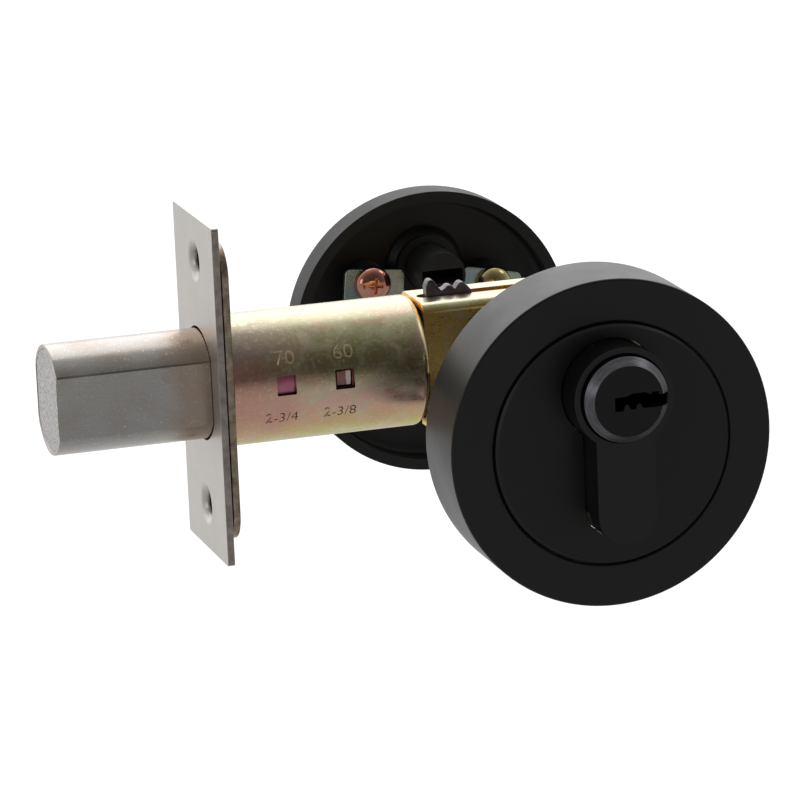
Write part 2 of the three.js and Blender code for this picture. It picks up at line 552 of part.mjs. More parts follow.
function innerRose() {
  const n = INNER;
  const wallR = n.r - ROSE_WALL;
  const boreR = HUB.r + 1.15;
  const cup = [[0, n.face], [n.r - 0.9, n.face], [n.r, n.face - 0.9], [n.r, n.mouth],
    [wallR, n.mouth], [wallR, n.floor - 1], [wallR - 1, n.floor], [0, n.floor]];
  let rose = turnedY(cup, 52, 0, n.centreZ);
  rose = join(rose, rodY(boreR + 0.95, n.floor - 2.2, n.floor + 0.5, 28, 0, 0));
  const screwHole = TAB_SCREW.shankR + PIN_GAP;
  for (const side of [-1, 1]) {
    const x = side * TAB_SCREW.x;
    const bossFront = TAB.front + TAB.thick + GAP;
    rose = join(rose, hung(rodY(screwHole + 1.55, bossFront, n.floor + 0.5, 16, x, TAB_SCREW.z)));
    rose = cut(rose, hung(rodY(screwHole, TAB.front, n.floor - 0.3, 12, x, TAB_SCREW.z)));
  }
  rose = cut(rose, rodY(boreR, n.floor - 4, n.face + 1, 28, 0, 0));
  piece('inner_rose', rose, satinBlack);
  piece('turn_bush', turnedY(ring(HUB.r + PIN_GAP, boreR - PIN_GAP, n.floor - 1.8, n.face - 0.2), 28), brass);

  const headBack = TAB.front - PIN_GAP;
  const shankEnd = n.floor - 0.8;
  const recess = { long: 1.7, half: 0.35, floor: 1.2 };
  for (const side of [-1, 1]) {
    const label = side < 0 ? 'left' : 'right';
    const [x0, x1] = side < 0 ? [-TAB.far, -TAB.near] : [TAB.near, TAB.far];
    const centre = side * TAB_SCREW.x;
    let tab = prismY(roundedRect(x0, x1, TAB.bottom, TAB.top, 0.6), TAB.front, TAB.front + TAB.thick, 1);
    tab = cut(tab, rodY(screwHole, TAB.front - 1, TAB.front + TAB.thick + 1, 12, centre, TAB_SCREW.z));
    // The right tab has swung a little further round its screw.
    const swung = (body) => (side < 0 ? body : body.translate([-centre, 0, -TAB_SCREW.z])
      .rotate([0, TAB.loose, 0]).translate([centre, 0, TAB_SCREW.z]));
    piece(`clamp_tab_${label}`, hung(swung(tab)), whiteZinc);
    const dome = 1.9;
    const head = [[0, headBack - dome - 0.4]];
    const steps = 4;
    for (let i = 1; i <= steps; i += 1) {
      const angle = (i / steps) * Math.PI / 2;
      head.push([TAB_SCREW.headR * Math.sin(angle), headBack - 0.4 - dome * Math.cos(angle)]);
    }
    head.push([TAB_SCREW.headR, headBack], [TAB_SCREW.shankR, headBack], [TAB_SCREW.shankR, shankEnd],
      [0, shankEnd]);
    let screw = turnedY(head, 16, centre, TAB_SCREW.z);
    for (const [w, h] of [[recess.long, recess.half], [recess.half, recess.long]]) {
      screw = cut(screw, box(centre - w, centre + w, headBack - dome - 1, headBack - recess.floor,
        TAB_SCREW.z - h, TAB_SCREW.z + h));
    }
    piece(`clamp_screw_${label}`, hung(screw), copper);
  }
}

function thumbTurn() {
  const t = TURN;
  // The hub is bored to take the tailpiece as the inside rose is drawn to the door.
  const hubEnd = t.start - 0.3;
  let hub = turnedY([[0, HUB.front], [HUB.r - 0.4, HUB.front], [HUB.r, HUB.front + 0.4], [HUB.r, hubEnd],
    [0, hubEnd]], 28);
  hub = cut(hub, box(-TAIL.half - GAP, TAIL.half + GAP, HUB.front - 1, hubEnd - 1.2,
    -TAIL.thick / 2 - GAP, TAIL.thick / 2 + GAP));
  piece('turn_hub', hub, satinBlack);

  const neck = turnedY([[0, INNER.face + GAP], [t.neckR, INNER.face + GAP], [t.neckR, t.start],
    [t.neckR - 0.5, t.start + 0.5], [0, t.start + 0.5]], 28);
  const grip = prismY(roundedRect(-t.halfLength, t.halfLength, -t.halfWidth, t.halfWidth, t.halfWidth - 0.01),
    t.start, t.end, 5);
  let knob = join(neck, grip);
  knob = cut(knob, rodY(HUB.r + PIN_GAP, INNER.face - 1, hubEnd + GAP, 28, 0, 0));
  const screwY = INNER.face + 2.2;
  const screwR = 1.2;
  knob = cut(knob, rodZ(screwR + PIN_GAP, -t.neckR - 1, -HUB.r + 0.5, 10, 0, screwY));
  piece('thumb_turn', knob, satinBlack);
  const grub = rodZ(screwR, -t.neckR + 0.4, -HUB.r - GAP, 10, 0, screwY);
  piece('turn_screw', grub, springSteel);

  const clip = turnedY(ring(HUB.r + PIN_GAP, HUB.r + 1.5, INNER.floor - 3.3, INNER.floor - 2.5), 28);
  piece('turn_clip', cut(clip, box(-1.4, 1.4, INNER.floor - 4, INNER.floor - 2, -9, -3)), springSteel);
}

faceplateGroup();
boltGroup();
tubeGroup();
drawbarRear();
turningTrain();
outerRose();
cylinder();
pinStacks();
innerRose();
thumbTurn();

export default lock;
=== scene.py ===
"""Looks for the deadbolt door lock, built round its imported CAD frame.

Lengths in this file are in millimetres in the lock's own frame, and MM turns them into metres.
"""

import json
import math

import bmesh
import bpy
from mathutils import Matrix, Vector


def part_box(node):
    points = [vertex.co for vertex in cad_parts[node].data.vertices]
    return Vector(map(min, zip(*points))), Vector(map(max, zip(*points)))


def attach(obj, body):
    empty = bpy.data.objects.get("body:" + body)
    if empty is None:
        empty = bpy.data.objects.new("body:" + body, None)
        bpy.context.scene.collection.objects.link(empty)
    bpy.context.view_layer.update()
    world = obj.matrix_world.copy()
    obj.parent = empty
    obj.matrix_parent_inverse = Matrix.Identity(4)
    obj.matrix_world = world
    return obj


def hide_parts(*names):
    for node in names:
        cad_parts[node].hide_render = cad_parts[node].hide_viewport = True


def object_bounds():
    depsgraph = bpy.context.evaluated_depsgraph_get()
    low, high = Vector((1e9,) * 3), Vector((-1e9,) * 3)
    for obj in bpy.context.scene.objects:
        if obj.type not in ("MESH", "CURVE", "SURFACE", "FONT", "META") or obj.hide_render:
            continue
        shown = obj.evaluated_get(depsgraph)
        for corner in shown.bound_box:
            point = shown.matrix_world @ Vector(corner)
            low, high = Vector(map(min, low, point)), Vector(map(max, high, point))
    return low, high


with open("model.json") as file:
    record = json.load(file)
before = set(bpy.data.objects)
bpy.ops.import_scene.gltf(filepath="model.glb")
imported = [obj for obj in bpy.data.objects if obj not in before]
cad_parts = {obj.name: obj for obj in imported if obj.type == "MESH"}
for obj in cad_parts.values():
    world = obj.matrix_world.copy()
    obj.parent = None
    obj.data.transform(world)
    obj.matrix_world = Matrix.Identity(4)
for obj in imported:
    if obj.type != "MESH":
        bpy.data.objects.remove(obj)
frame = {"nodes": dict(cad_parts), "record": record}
CAD_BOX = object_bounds()

MM = 0.001
X, Y, Z = 0, 1, 2
TOOL = "tool"       # the name of every cutter or blank that is used up
PAST = 1            # how far a cutter runs past what it cuts
NODES = frame["nodes"]
SCENE = bpy.context.scene


def node_box(node):
    """The lowest and highest corners of a CAD node, in millimetres."""
    low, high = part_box(node)
    return Vector(low) / MM, Vector(high) / MM


# ------------------------------------------------------------------ outlines

def arc(cx, cy, radius, start, end, steps):
    """Points on an arc, with its angles in degrees."""
    points = []
    for i in range(steps + 1):
        angle = math.radians(start + (end - start) * i / steps)
        points.append((cx + radius * math.cos(angle), cy + radius * math.sin(angle)))
    return points


def rounded_rect(u0, u1, v0, v1, radius, steps=6):
    """A rectangle between two pairs of coordinates, with round corners."""
    points = arc(u1 - radius, v0 + radius, radius, -90, 0, steps)
    points += arc(u1 - radius, v1 - radius, radius, 0, 90, steps)
    points += arc(u0 + radius, v1 - radius, radius, 90, 180, steps)
    points += arc(u0 + radius, v0 + radius, radius, 180, 270, steps)
    return points


def circle(cu, cv, radius, steps=48):
    return arc(cu, cv, radius, 0, 360 * (steps - 1) / steps, steps - 1)


def flatted_round(radius, flat, steps=40):
    """A round with two flats, drawn in (y, z)."""
    edge = math.degrees(math.acos(flat / radius))
    top = arc(0, 0, radius, edge, 180 - edge, steps)
    return top + arc(0, 0, radius, 180 + edge, 360 - edge, steps)


def dome_points(radius, height, angles):
    """Points down a dome's side as (radius, height above its rim). Angles are in degrees from its top."""
    return [(radius * math.sin(math.radians(a)), height * math.cos(math.radians(a))) for a in angles]


def profile_outline(radius, leg, bottom_centre, steps=40):
    """A profile cylinder's section in (x, z): a round barrel over a round-ended leg."""
    side = math.degrees(math.acos(leg / radius))
    barrel = arc(0, 0, radius, -side, 180 + side, steps * 2)
    return barrel + arc(0, bottom_centre, leg, 180, 360, steps)


# ------------------------------------------------------------------ mesh building

def new_object(name, bm):
    bmesh.ops.recalc_face_normals(bm, faces=bm.faces)
    for face in bm.faces:
        face.smooth = True
    mesh = bpy.data.meshes.new(name)
    bm.to_mesh(mesh)
    bm.free()
    mesh.transform(Matrix.Scale(MM, 4))
    obj = bpy.data.objects.new(name, mesh)
    SCENE.collection.objects.link(obj)
    return obj


def turned(name, profile, axis=Y, centre=(0, 0), segments=128, closed=False):
    """A solid of revolution. The profile is a list of (radius, distance along the axis)."""
    bm = bmesh.new()
    rings = []
    for radius, along in profile:
        count = segments if radius > 1e-6 else 1
        ring = []
        for i in range(count):
            angle = 2 * math.pi * i / segments
            u = centre[0] + radius * math.cos(angle)
            v = centre[1] + radius * math.sin(angle)
            place = {X: (along, u, v), Y: (u, along, v), Z: (u, v, along)}[axis]
            ring.append(bm.verts.new(place))
        rings.append(ring)
    pairs = list(zip(rings, rings[1:]))
    if closed:
        pairs.append((rings[-1], rings[0]))
    for low, high in pairs:
        for i in range(segments):
            j = (i + 1) % segments
            corners = [low[i % len(low)], low[j % len(low)], high[j % len(high)], high[i % len(high)]]
            corners = list(dict.fromkeys(corners))
            if len(corners) > 2:
                bm.faces.new(corners)
    return new_object(name, bm)


def rod(radius, low, high, axis=Y, centre=(0, 0), segments=64, name=TOOL):
    """A plain round bar along an axis."""
    return turned(name, [(0, low), (radius, low), (radius, high), (0, high)], axis, centre, segments)


def prism(name, outline, axis, low, high):
    """An outline pushed along an axis. X takes (y, z), Y takes (x, z) and Z takes (x, y)."""
    bm = bmesh.new()
    ends = []
    for along in (low, high):
        ends.append([bm.verts.new({X: (along, u, v), Y: (u, along, v), Z: (u, v, along)}[axis])
                     for u, v in outline])
    count = len(outline)
    bm.faces.new(ends[0])
    bm.faces.new(ends[1])
    for i in range(count):
        j = (i + 1) % count
        bm.faces.new((ends[0][i], ends[0][j], ends[1][j], ends[1][i]))
    return new_object(name, bm)


def block(name, x, y, z):
    """A straight-sided cutter or blank between pairs of coordinates."""
    return prism(name, [(x[0], z[0]), (x[1], z[0]), (x[1], z[1]), (x[0], z[1])], Y, y[0], y[1])


def settle(obj):
    """Replaces an object's mesh by what its modifiers make of it."""
    depsgraph = bpy.context.evaluated_depsgraph_get()
    mesh = bpy.data.meshes.new_from_object(obj.evaluated_get(depsgraph))
    obj.modifiers.clear()
    obj.data = mesh


def combine(obj, tools, operation="DIFFERENCE"):
    """Cuts the tools out of obj, or joins them to it, and removes them."""
    for tool in tools:
        modifier = obj.modifiers.new("boolean", "BOOLEAN")
        modifier.operation = operation
        modifier.solver = "EXACT"
        modifier.object = tool
    bpy.context.view_layer.update()
    settle(obj)
    for tool in tools:
        bpy.data.objects.remove(tool)
    return obj


def cut(obj, *tools):
    return combine(obj, tools)


def join(obj, *tools):
    return combine(obj, tools, "UNION")


def edge_round(obj, width, segments=3, angle=32):
    """Rounds every sharp edge, and keeps flat faces flat in the shading."""
    bm = bmesh.new()
    bm.from_mesh(obj.data)
    bmesh.ops.remove_doubles(bm, verts=bm.verts, dist=1e-6)
    bmesh.ops.dissolve_degenerate(bm, edges=bm.edges, dist=1e-6)
    for face in bm.faces:
        face.smooth = True
    bm.to_mesh(obj.data)
    bm.free()
    bevel = obj.modifiers.new("edges", "BEVEL")
    bevel.width = width * MM
    bevel.segments = segments
    bevel.limit_method = "ANGLE"
    bevel.angle_limit = math.radians(angle)
    bevel.miter_outer = "MITER_ARC"
    bevel.use_clamp_overlap = True
    normals = obj.modifiers.new("normals", "WEIGHTED_NORMAL")
    normals.keep_sharp = False
    normals.weight = 80
    return obj


def mount(obj, body, slot, material, *nodes):
    """Gives a finished piece its material and its body, and hides the CAD nodes it stands for. The slot
    is not used.
    """
    obj.data.materials.clear()
    obj.data.materials.append(material)
    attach(obj, body)
    if nodes:
        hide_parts(*nodes)
    return obj


# ------------------------------------------------------------------ materials

class Paint:
    """A small helper that lays out one material's nodes."""

    def __init__(self, name):
        self.material = bpy.data.materials.new(name)
        self.material.use_nodes = True
        self.tree = self.material.node_tree
        self.tree.nodes.clear()
        self.output = self.tree.nodes.new("ShaderNodeOutputMaterial")
        self.shader = self.tree.nodes.new("ShaderNodeBsdfPrincipled")
        self.tree.links.new(self.shader.outputs[0], self.output.inputs["Surface"])
        self.place = self.tree.nodes.new("ShaderNodeTexCoord").outputs["Object"]
        self.height = None

    def set(self, **values):
        for name, value in values.items():
            socket = self.shader.inputs[name.replace("_", " ")]
            socket.default_value = value
        return self

    def scaled(self, x, y, z, turn=(0, 0, 0)):
        """The object's own coordinates, stretched by a factor on each axis."""
        node = self.tree.nodes.new("ShaderNodeMapping")
        node.inputs["Scale"].default_value = (x, y, z)
        node.inputs["Rotation"].default_value = turn
        self.tree.links.new(self.place, node.inputs["Vector"])
        return node.outputs[0]

    def noise(self, scale, detail=4, rough=0.55, at=None, distortion=0.0):
        node = self.tree.nodes.new("ShaderNodeTexNoise")
        node.inputs["Scale"].default_value = scale
        node.inputs["Detail"].default_value = detail
        node.inputs["Roughness"].default_value = rough
        node.inputs["Distortion"].default_value = distortion
        self.tree.links.new(at or self.place, node.inputs["Vector"])
        return node.outputs["Fac"]

    def cells(self, scale, at=None, feature="F1"):
        node = self.tree.nodes.new("ShaderNodeTexVoronoi")
        node.feature = feature
        node.inputs["Scale"].default_value = scale
        self.tree.links.new(at or self.place, node.inputs["Vector"])
        return node.outputs["Distance"]

    def ramp(self, source, *stops, mode="LINEAR"):
        """A colour or grey ramp. A stop is (position, grey) or (position, (r, g, b))."""
        node = self.tree.nodes.new("ShaderNodeValToRGB")
        node.color_ramp.interpolation = mode
        elements = node.color_ramp.elements
        while len(elements) < len(stops):
            elements.new(0.5)
        for element, (position, colour) in zip(elements, stops):
            element.position = position
            rgb = colour if isinstance(colour, tuple) else (colour,) * 3
            element.color = (*rgb, 1)
        self.tree.links.new(source, node.inputs["Fac"])
        return node.outputs["Color"]

    def mix(self, factor, a, b, blend="MIX"):
        node = self.tree.nodes.new("ShaderNodeMix")
        node.data_type = "RGBA"
        node.blend_type = blend
        for socket, value in (("Factor", factor), ("A", a), ("B", b)):
            self.feed(node.inputs[socket], value)
        return node.outputs["Result"]

    def math(self, operation, a, b=0.0):
        node = self.tree.nodes.new("ShaderNodeMath")
        node.operation = operation
        self.feed(node.inputs[0], a)
        self.feed(node.inputs[1], b)
        return node.outputs[0]

    def feed(self, socket, value):
        if isinstance(value, bpy.types.NodeSocket):
            self.tree.links.new(value, socket)
        elif isinstance(value, tuple) and len(value) == 3:
            socket.default_value = (*value, 1)
        else:
            socket.default_value = value

    def axis_value(self, axis):
        """One object coordinate, in metres."""
        node = self.tree.nodes.new("ShaderNodeSeparateXYZ")
        self.tree.links.new(self.place, node.inputs[0])
        return node.outputs[axis]

    def facing(self, axis):
        """How far the surface faces along an axis of the object, from -1 to 1."""
        normal = self.tree.nodes.new("ShaderNodeTexCoord").outputs["Normal"]
        node = self.tree.nodes.new("ShaderNodeSeparateXYZ")
        self.tree.links.new(normal, node.inputs[0])
        return node.outputs[axis]

    def colour(self, source):
        self.feed(self.shader.inputs["Base Color"], source)
        return self

    def roughness(self, source):
        self.feed(self.shader.inputs["Roughness"], source)
        return self

    def bump(self, source, distance, strength=1.0):
        """Adds a bump of the given height in millimetres."""
        node = self.tree.nodes.new("ShaderNodeBump")
        node.inputs["Strength"].default_value = strength
        node.inputs["Distance"].default_value = distance * MM
        self.tree.links.new(source, node.inputs["Height"])
        if self.height is not None:
            self.tree.links.new(self.height, node.inputs["Normal"])
        self.height = node.outputs[0]
        self.tree.links.new(self.height, self.shader.inputs["Normal"])
        return self


def black_coat(name, base=0.004, rough=0.38, sheen=0.165, painted_glint_region=None):
    """Fine satin black: a faint orange peel and slightly uneven gloss, lighter at a glance.

    The last argument gives a depth and a height, in millimetres: behind the one and below the other
    bright metal is painted in, a painted glint.
    """
    p = Paint(name).set(Metallic=0.0, Specular_IOR_Level=0.42, Sheen_Weight=sheen, Sheen_Roughness=0.35)
    cloud = p.noise(120, 3)
    grain = p.noise(5200, 2, 0.7)
    coat = p.ramp(cloud, (0.3, base * 0.85), (0.75, base * 1.25))
    if painted_glint_region:
        # A painted glint: bright metal painted in behind and below the given place.
        behind = p.math("GREATER_THAN", p.axis_value(Y), painted_glint_region[0] * MM)
        beneath = p.math("LESS_THAN", p.axis_value(Z), painted_glint_region[1] * MM)
        painted_glint = p.math("MULTIPLY", behind, beneath)
        coat = p.mix(painted_glint, coat, p.ramp(grain, (0.3, (0.66, 0.56, 0.38)), (0.7, (0.80, 0.72, 0.55))))
        p.feed(p.shader.inputs["Metallic"], painted_glint)
    p.colour(coat)
    p.roughness(p.ramp(p.mix(0.35, cloud, grain), (0.3, rough - 0.05), (0.7, rough + 0.06)))
    p.bump(grain, 0.006, 0.55)
    return p.material


def black_plug(name):
    """The plug is satin black, and its turned chamfer is a brushed dark chrome."""
    p = Paint(name).set(Specular_IOR_Level=0.30)
    flatness = p.math("ABSOLUTE", p.facing(Y))
    chamfer = p.ramp(flatness, (0.40, 0.0), (0.55, 1.0), (0.80, 1.0), (0.93, 0.0))
    grain = p.noise(5200, 2, 0.7)
    brushed = p.noise(1, 3, 0.8, p.scaled(260, 2600, 260))
    coat = p.ramp(grain, (0.3, 0.0030), (0.7, 0.0055))
    chrome = p.ramp(brushed, (0.3, (0.085, 0.085, 0.095)), (0.7, (0.19, 0.19, 0.205)))
    p.colour(p.mix(chamfer, coat, chrome))
    p.feed(p.shader.inputs["Metallic"], chamfer)
    p.roughness(p.ramp(p.mix(0.5, grain, brushed), (0.3, 0.30), (0.7, 0.40)))
    p.bump(grain, 0.004, 0.4)
    return p.material


def yellow_zinc(name, marks_radius=None, amber=0.0):
    """Yellow passivated steel. Its tint runs by how far the surface faces up, from cream on top through a
    dark olive band to rose lower down: partly the film's own colour and partly painted reflection.

    marks_radius is the tube radius, in millimetres, under which a surface is the floor of a mark.
    """
    p = Paint(name).set(Metallic=1.0)
    streak = p.noise(1, 5, 0.62, p.scaled(60, 260, 260), distortion=0.5)
    patch = p.noise(260, 6, 0.68, distortion=0.8)
    speck = p.noise(1700, 4, 0.72)
    drift = p.math("MULTIPLY", p.math("SUBTRACT", p.mix(0.45, streak, patch), 0.5), 0.62)
    height = p.math("MULTIPLY_ADD", p.math("ADD", p.facing(Z), drift), 0.5)
    height.node.inputs[2].default_value = 0.5
    # Painted reflection: the tint follows how far the surface faces up, with a painted highlight on top,
    # a painted dark band along the middle and a painted bright reflection on the lower half, over the
    # film's own yellow and rose.
    tint = p.ramp(height, (0.0, (0.50, 0.47, 0.18)), (0.10, (0.62, 0.57, 0.18)),
                  (0.21, (0.88, 0.60, 0.35)), (0.36, (0.90, 0.56, 0.46)), (0.47, (0.82, 0.66, 0.46)),
                  (0.55, (0.48, 0.39, 0.22)), (0.65, (0.37, 0.31, 0.15)), (0.77, (0.43, 0.39, 0.19)),
                  (0.88, (0.52, 0.50, 0.28)), (1.0, (0.58, 0.58, 0.44)))
    if amber:
        # Faces that lie sideways take the amber film colour; faces up or down are painted paler, a
        # painted highlight on the bracket's top.
        sideways = p.math("ABSOLUTE", p.facing(Z))
        tint = p.mix(p.ramp(sideways, (0.15, amber), (0.75, 0.0)), tint, (1.0, 0.64, 0.16))
        tint = p.mix(p.ramp(sideways, (0.75, 0.0), (0.97, 0.8)), tint, (0.68, 0.65, 0.46))
    cream = p.mix(p.ramp(patch, (0.48, 0.0), (0.66, 0.65)), tint, (0.70, 0.70, 0.47))
    rosy = p.noise(1, 3, 0.6, p.scaled(70, 120, 120), distortion=0.3)
    blend = p.mix(p.ramp(rosy, (0.48, 0.0), (0.70, 0.7)), cream, (0.74, 0.40, 0.36))
    near_plate = p.math("MULTIPLY", p.axis_value(X), 1000.0)
    reach = p.math("ADD", near_plate, p.math("MULTIPLY", patch, 14.0))
    span_in = p.math("MULTIPLY_ADD", reach, 0.07)
    span_in.node.inputs[2].default_value = 3.4
    sides = p.ramp(height, (0.12, 0.1), (0.27, 1.0), (0.80, 1.0), (0.95, 0.15))
    reddened = p.math("MULTIPLY", p.ramp(span_in, (0.0, 0.75), (1.0, 0.0)), sides)
    blend = p.mix(reddened, blend, (0.76, 0.38, 0.30))
    shoulder = p.ramp(height, (0.70, 0.0), (0.78, 1.0), (0.93, 1.0), (0.98, 0.0))
    dulled = p.math("MULTIPLY", p.ramp(span_in, (0.0, 0.8), (1.0, 0.0)), shoulder)
    blend = p.mix(dulled, blend, (0.38, 0.33, 0.28))
    blend = p.mix(p.ramp(speck, (0.56, 0.0), (0.70, 0.7)), blend, (0.90, 0.86, 0.68))
    if marks_radius:
        across = p.math("POWER", p.axis_value(Y), 2.0)
        up = p.math("POWER", p.axis_value(Z), 2.0)
        radius = p.math("MULTIPLY", p.math("SQRT", p.math("ADD", across, up)), 1000.0)
        sunk = p.math("LESS_THAN", radius, marks_radius)
        # The floors of marks above the axis are painted bright gold and those below painted dark: a
        # painted highlight and painted shade.
        above = p.math("GREATER_THAN", p.axis_value(Z), 0.0)
        blend = p.mix(sunk, blend, p.mix(above, (0.10, 0.07, 0.04), (0.98, 0.84, 0.50)))
    p.colour(blend)
    scratch = p.noise(1, 3, 0.8, p.scaled(320, 3600, 3600, (0.0, 0.15, 0.1)))
    p.roughness(p.ramp(p.mix(0.5, patch, scratch), (0.3, 0.20), (0.7, 0.40)))
    p.bump(patch, 0.012, 0.35)
    p.bump(speck, 0.010, 0.45)
    p.bump(scratch, 0.006, 0.4)
    return p.material


def drawn_steel(name, base, stretch, rough=0.3, tint=None, depth=0.005, sheared=None):
    """Bare steel with the fine lines of drawing or brushing along one axis.

    sheared is the darker, torn colour of the edges that face along Y, where there are any.
    """
    p = Paint(name).set(Metallic=1.0)
    lines = p.noise(1, 3, 0.75, p.scaled(*stretch))
    cloud = p.noise(160, 4)
    low = tuple(c * 0.86 for c in base)
    high = tuple(min(1.0, c * 1.10) for c in base)
    colour = p.ramp(p.mix(0.5, lines, cloud), (0.32, low), (0.68, high))
    if tint:
        smear = p.noise(95, 5, 0.65, distortion=0.7)
        colour = p.mix(p.ramp(smear, (0.48, 0.0), (0.70, 0.5)), colour, tint)
        cool = p.noise(60, 3, 0.5, p.scaled(1, 1.4, 1.4, (0.4, 0.2, 0.1)))
        bluish = tuple(c * 0.92 for c in base[::-1])
        colour = p.mix(p.ramp(cool, (0.50, 0.0), (0.70, 0.35)), colour, bluish)
        near = p.math("ADD", p.math("MULTIPLY", p.axis_value(X), 125.0), p.math("MULTIPLY", smear, 1.0))
        near = p.math("ADD", near, 8.6)
        colour = p.mix(p.ramp(near, (0.55, 0.0), (1.0, 0.6)), colour, tint)
        sparkle = p.noise(2100, 3, 0.7)
        colour = p.mix(p.ramp(sparkle, (0.60, 0.0), (0.72, 0.7)), colour, (0.85, 0.84, 0.82))
    if sheared:
        edge = p.math("ABSOLUTE", p.facing(Y))
        dark = tuple(c * 0.7 for c in sheared)
        light = tuple(c * 1.35 for c in sheared)
        torn = p.ramp(p.noise(700, 5, 0.7), (0.35, dark), (0.65, light))
        colour = p.mix(p.ramp(edge, (0.75, 0.0), (0.95, 0.85)), colour, torn)
    p.colour(colour)
    p.roughness(p.ramp(p.mix(0.5, lines, cloud), (0.3, rough - 0.06), (0.7, rough + 0.08)))
    p.bump(lines, depth, 0.5)
    return p.material


def sintered(name):
    """Pressed and sintered metal: a fine granular matt surface."""
    p = Paint(name).set(Metallic=0.75)
    grit = p.noise(2600, 5, 0.75)
    pits = p.cells(1900)
    p.colour(p.ramp(p.mix(0.5, grit, pits), (0.25, (0.36, 0.35, 0.35)), (0.6, (0.72, 0.70, 0.69))))
    p.roughness(p.ramp(grit, (0.3, 0.5), (0.7, 0.75)))
    p.bump(pits, 0.05, 0.7)
    p.bump(grit, 0.04, 0.6)
    return p.material


def plated(name, low, high, rough, scale=420, depth=0.004):
    """Bright plating with slight colour drift."""
    p = Paint(name).set(Metallic=1.0)
    drift = p.noise(scale, 4)
    fine = p.noise(3000, 2, 0.7)
    p.colour(p.ramp(drift, (0.3, low), (0.7, high)))
    p.roughness(p.ramp(p.mix(0.5, drift, fine), (0.3, rough - 0.05), (0.7, rough + 0.08)))
    p.bump(fine, depth, 0.5)
    return p.material


def worn_catch(name, worn_from):
    """Pinkish zinc, rubbed through to bright metal behind a place along the bolt's axis."""
    p = Paint(name).set(Metallic=1.0)
    drift = p.noise(900, 4)
    along = p.math("ADD", p.math("MULTIPLY", p.axis_value(X), 1000.0), p.math("MULTIPLY", drift, 0.5))
    worn = p.math("GREATER_THAN", along, worn_from + 0.25)
    zinc = p.ramp(drift, (0.3, (0.24, 0.10, 0.09)), (0.7, (0.42, 0.22, 0.20)))
    bright = p.ramp(drift, (0.3, (0.62, 0.55, 0.54)), (0.7, (0.86, 0.79, 0.77)))
    p.colour(p.mix(worn, zinc, bright))
    p.roughness(p.ramp(drift, (0.3, 0.25), (0.7, 0.36)))
    p.bump(drift, 0.006, 0.4)
    return p.material


# ------------------------------------------------------------------ finishes in use

TUBE_R = node_box("outer_tube")[1].z
WINDOW = 3.3                    # the side of a square window in the tube
WINDOW_LOW = -1.0
WINDOW_X = (-38.1, -48.1)       # the windows' middles: the two backsets are 10 mm apart

STEEL_PLATE = drawn_steel("satin_steel", (0.63, 0.605, 0.57), (300, 300, 4200), 0.38, depth=0.004,
                          sheared=(0.33, 0.28, 0.25))
STEEL_BOLT = drawn_steel("bolt_steel", (0.47, 0.45, 0.425), (260, 2600, 2600), 0.24,
                         tint=(0.40, 0.27, 0.18))
CORE = sintered("sintered_core")
ZINC_BACK = plated("yellow_zinc_backing", (0.20, 0.15, 0.10), (0.50, 0.41, 0.31), 0.34, 700, 0.012)
ZINC_TUBE = yellow_zinc("yellow_zinc_tube", marks_radius=TUBE_R - 0.09)
ZINC_BRACKET = yellow_zinc("yellow_zinc_bracket", amber=0.95)
PINK = plated("pink_zinc", (0.42, 0.10, 0.17), (0.66, 0.27, 0.33), 0.30)
CATCH = worn_catch("bright_catch", WINDOW_X[0] + 0.35)
DARK = plated("dark_zinc", (0.13, 0.105, 0.12), (0.27, 0.235, 0.25), 0.40, 700, 0.012)
WHITE = plated("white_zinc", (0.26, 0.36, 0.38), (0.52, 0.52, 0.44), 0.26, 200)
COPPER = plated("copper_screw", (0.50, 0.20, 0.14), (0.74, 0.38, 0.29), 0.09)
GILT = plated("gilt_screw", (0.52, 0.42, 0.18), (0.70, 0.58, 0.30), 0.16)
BLACK = black_coat("satin_black")
BLACK_INSIDE = black_coat("satin_black_inside", 0.004, 0.48, 0.055)
BLACK_FLAT = black_coat("satin_black_disc", 0.004, 0.42, 0.03)
# The body's leg carries a painted glint at its foot, next to the disc.
BLACK_BODY = black_coat("satin_black_body", 0.0042, 0.29, 0.0, painted_glint_region=(-36.4, -19.9))
BLACK_PLUG = black_plug("bright_black")
BRASS = plated("brass", (0.60, 0.43, 0.17), (0.74, 0.57, 0.27), 0.28)
SPRING = plated("spring_steel", (0.36, 0.37, 0.39), (0.52, 0.53, 0.54), 0.30)


# ------------------------------------------------------------------ shared measures

CLEAR = 0.3         # the gap between parts that slide past each other

BOLT_R = node_box("bolt_sleeve")[1].z
BOLT_FLAT = node_box("bolt_sleeve")[1].y
SLEEVE_R = node_box("inner_sleeve")[1].z
SLEEVE_BORE = BOLT_R + CLEAR
SCREW_PITCH = 41.5
SCREW_R = 2.4
LEG_HALF = 5.0
LEG_ROUND_Z = node_box("cylinder_body")[0].z + LEG_HALF
BARREL_R = node_box("cylinder_body")[1].z


# ------------------------------------------------------------------ faceplate group

def faceplate():
    """The plate in the door's edge, dimpled rather than machined round its two screw holes."""
    low, high = node_box("faceplate")
    front, back = low.x, high.x
    plate = prism("faceplate_plate", rounded_rect(low.y, high.y, low.z, high.z, 0.5), X, front, back)
    opening = flatted_round(BOLT_R + CLEAR, BOLT_FLAT + CLEAR)
    tools = [prism(TOOL, opening, X, front - PAST, back + PAST)]
    dimple = [(0, front - PAST), (4.2, front - PAST), (4.2, front - 0.02), (3.5, front + 0.03),
              (3.1, front + 0.22), (2.55, front + 0.8), (SCREW_R, back - 0.1), (SCREW_R, back + PAST),
              (0, back + PAST)]
    for side in (-1, 1):
        tools.append(turned(TOOL, dimple, X, (0, side * SCREW_PITCH / 2), 64))
    cut(plate, *tools)
    edge_round(plate, 0.14)
    mount(plate, "faceplate_group", "satin_steel", STEEL_PLATE, "faceplate")


